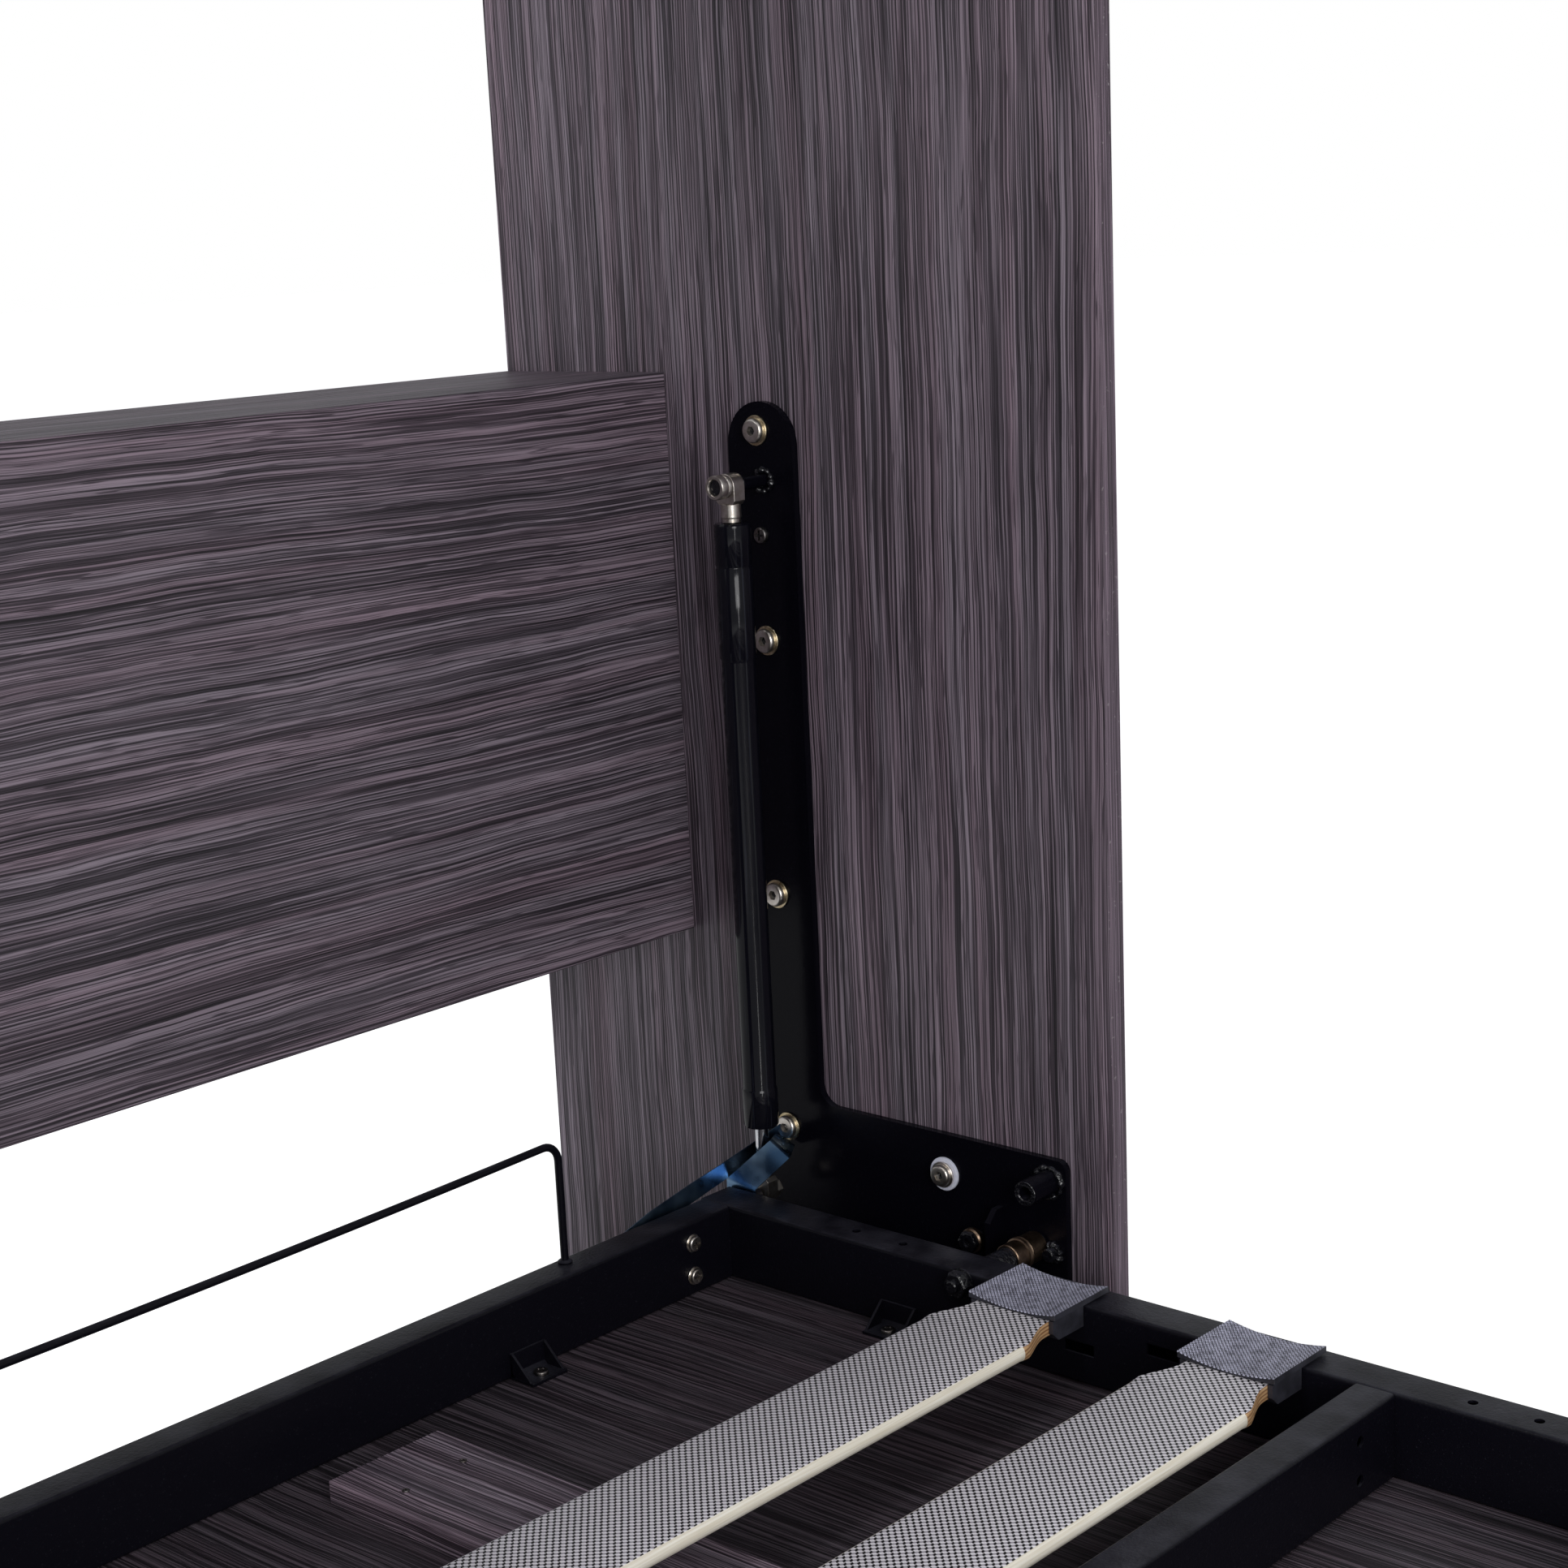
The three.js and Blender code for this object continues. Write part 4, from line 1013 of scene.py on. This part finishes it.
def swept(path, radius, sides=14):
    """A round section carried along a path, square to its direction at each point."""
    way = np.gradient(path, axis=0)
    way /= np.linalg.norm(way, axis=1)[:, None]
    flat = np.array([0.0, 1.0, 0.0]) - way * way[:, 1:2]
    flat /= np.linalg.norm(flat, axis=1)[:, None]
    other = np.cross(way, flat)
    angle = np.linspace(0, 2 * math.pi, sides, endpoint=False)
    ring = flat[:, None] * np.cos(angle)[None, :, None] + other[:, None] * np.sin(angle)[None, :, None]
    points = path[:, None] + radius * ring
    ends = [np.broadcast_to(path[row], (1, sides, 3)) for row in (0, -1)]
    return sheet(np.concatenate([ends[0], points, ends[1]]), around=True)


def stop_path():
    """Up a post, round a quarter circle, along the bar to the far post; the bar bows as a parabola."""
    span = PANEL_X / MM
    turn = np.linspace(0, math.pi / 2, 8)
    high = STOP_HEIGHT - ROD
    posts = np.stack([np.full(6, POST_IN), np.full(6, POST_D),
                      np.linspace(0.3, high - STOP_BEND, 6)], -1)
    bend = np.stack([POST_IN + STOP_BEND * (1 - np.cos(turn)), np.full(8, POST_D),
                     high - STOP_BEND + STOP_BEND * np.sin(turn)], -1)[1:]
    across = np.linspace(POST_IN + STOP_BEND, span, 30)[1:]
    middle = (across - span) / (POST_IN + STOP_BEND - span)
    bar = np.stack([across, POST_D + STOP_BOW * (1 - middle ** 2), np.full(29, high)], -1)
    half = np.concatenate([posts, bend, bar])
    other = half[-2::-1] * (-1, 1, 1) + (2 * span, 0, 0)
    return np.concatenate([half, other])


COLLAR = [(0, 0.3), (5.6, 0.3), (5.8, 1.6), (4.8, 2.6), (3.4, 3.0), (0, 3.0)]
made_piece("mattress_stop_rod", "bed_frame",
           [(swept(stop_path(), ROD), 0)]
           + [(aimed(turned(COLLAR, 24), (0, 0, 1), (at, POST_D, 0)), 0)
              for at in (POST_IN, 2 * PANEL_X / MM - POST_IN)],
           [POWDER_BLACK], 1, ("mattress_stop",))

# ---------------------------------------------------------------- front boards and battens
# Three oak-laminate boards screwed under the frame make the closed bed's front; their upward faces take
# a darker copy of the laminate as painted shade, and the battens a lighter copy as painted light. Short
# battens cover the seams from behind; each is held by pairs of countersunk screws that have lifted
# small splinters.

OAK_FRONT = oak_laminate("oak_laminate_front", ALONG_BED, (0.13, 0.2, 0.7), 1.0)
# A darker copy of the laminate for the boards' upward faces: painted shade from the frame above them.
OAK_INSIDE_PAINTED_SHADE = oak_laminate("oak_laminate_inside_painted_shade", ALONG_BED, (0.33, 0.1, 0.5), 0.42)
# A lighter copy of the same laminate for the battens and their splinters: painted light.
OAK_BATTEN_PAINTED_LIGHT = oak_laminate("oak_laminate_batten_painted_light", ALONG_BED, (0.47, 0.6, 0.2), 1.32)
SCREW_FROM_END = 52
SCREW_FROM_MIDDLE = 26
SPLINTER = [(0, 0), (4.6, 0), (3.2, 0.35), (2.9, 0.2), (0, 0.2)]


def splinter_outline(angle):
    """A torn edge: reach swings with two waves of the angle."""
    return 1 + 0.35 * np.sin(3 * angle + 1) * np.cos(5 * angle)


# Each board's upward faces take the darker copy: painted shade.
for third in ("left", "centre", "right"):
    eased(f"front_panel_{third}", [OAK_FRONT, OAK_INSIDE_PAINTED_SHADE], BOARD_EDGE,
          lambda face: 1 if face.normal.z > 0.9 else 0)
for end in ("head", "foot"):
    for side_name, side in SIDES:
        name = f"batten_{end}_{side_name}"
        # The battens take the lighter copy: painted light.
        eased(name, [OAK_BATTEN_PAINTED_LIGHT], 0.0005)
        low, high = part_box(name)
        top = (high.z - FRAME_TOP) / MM
        middle = PANEL_X / MM - (abs(low.x) + abs(high.x)) / 2 / MM
        reach = ((WALL_Y - high.y) / MM + SCREW_FROM_END, (WALL_Y - low.y) / MM - SCREW_FROM_END)
        screws = []
        for distance in np.linspace(*reach, 4):
            for offset in (-SCREW_FROM_MIDDLE, SCREW_FROM_MIDDLE):
                place = (middle + offset, distance + 0.04 * offset, top)
                head = button_head(2.6, 1.1, 1.5, cross_outline, 0.7)
                splinter = turned(SPLINTER, 11, splinter_outline, (1,))
                screws += [(aimed(head, (0, 0, 1), place), 0), (aimed(splinter, (0, 0, 1), place), 1)]
        made_piece(f"{name}_screws", "bed_frame", screws, [DARK_STEEL, OAK_BATTEN_PAINTED_LIGHT], side)

# ---------------------------------------------------------------- folding leg
# A U of 25 mm square tube hangs from two bent brackets near the foot. It swings up flat against the
# front and then serves as the pull; screws hold the brackets, plastic pads save the floor.

for name in ("leg_frame", "leg_bracket_left", "leg_bracket_right"):
    eased(name, [POWDER_BLACK], 0.0008)

for side_name, side in SIDES:
    low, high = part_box(f"leg_bracket_{side_name}")
    flange = (high.z - FRAME_TOP) / MM - 3
    outer = PANEL_X / MM - max(abs(low.x), abs(high.x)) / MM
    centre = (WALL_Y - (low.y + high.y) / 2) / MM
    screws = [(aimed(button_head(4.6, 2.6, 2.8, cross_outline, 1.6), (0, 0, -1),
                     (outer + 10, centre + way, flange)), 0) for way in (-11, 11)]
    made_piece(f"leg_bracket_screws_{side_name}", "bed_frame", screws, [BRIGHT_STEEL], side)

# ---------------------------------------------------------------- hold-down straps
# A blued steel strap in two runs, from the plate's lower bolt across the frame's head corner. It
# keeps the bare frame from springing up until its mattress is on, and comes off before the bed shuts.

STRAP_THICK = 0.9


def blued_steel():
    """Blued strapping: a satin blue whose tone and gloss drift slowly."""
    material, tree, shader = finish("blued_steel", shade(92, 124, 156), 0.3, 1.0)
    place = object_place(tree)
    drift = ramp(tree, noise(tree, place, 34.0, 2.0), (0.35, 0.0), (0.65, 1.0))
    feed(tree, shader, Base_Color=blend_colours(tree, drift, shade(70, 100, 134), shade(136, 166, 194)),
         Roughness=calc(tree, "MULTIPLY_ADD", drift, 0.14, 0.24))
    return material


BLUED_STEEL = blued_steel()


def strip(stations, thickness):
    """A flat strip through stations (middle, half width as a vector), closed at its ends."""
    middles = np.array([middle for middle, _ in stations], float)
    halves = np.array([half for _, half in stations], float)
    fine = np.linspace(0, len(middles) - 1, 6 * (len(middles) - 1) + 1)
    steps = np.arange(len(middles))
    middle, half = (np.stack([np.interp(fine, steps, column) for column in table.T], -1)
                    for table in (middles, halves))
    way = np.gradient(middle, axis=0)
    normal = np.cross(way, half)
    normal *= thickness / 2 / np.linalg.norm(normal, axis=1)[:, None]
    ring = np.stack([middle - half + normal, middle + half + normal, middle + half - normal,
                     middle - half - normal], 1)
    ends = [np.broadcast_to(ring[row].mean(0), (1, 4, 3)) for row in (0, -1)]
    return sheet(np.concatenate([ends[0], ring, ends[1]]), around=True)


FRONT_STRAP = [((10, 281.8, 24), (0, 10.2, -3.2)), ((45, 309, 32.6), (-2.8, 7.4, -6.6)),
               ((48, 310, 32), (-3, 7.3, -6.8)), ((58, 298.4, 18.4), (-2, 10.6, -4.5)),
               ((67, 284.2, 2.9), (0, 15.4, -1.4)), ((67.2, 284.2, -10), (0, 15.2, 0))]
REAR_STRAP = [((9, 277, 32), (0, 4, 7)), ((37, 271, 20.5), (2.4, 1, 6.4)),
              ((73, 270, 12), (0, 0, 7.4)), ((110, 270, 5.5), (0, 0, 8)),
              ((157, 270, -4), (0, 0, 8.6)), ((210, 270, -19), (0, 0, 8.6))]

for side_name, side in SIDES:
    made_piece(f"hold_down_strap_{side_name}", "cabinet",
               [(strip(FRONT_STRAP, STRAP_THICK), 0), (strip(REAR_STRAP, STRAP_THICK), 0)],
               [BLUED_STEEL], side, crisp=30)
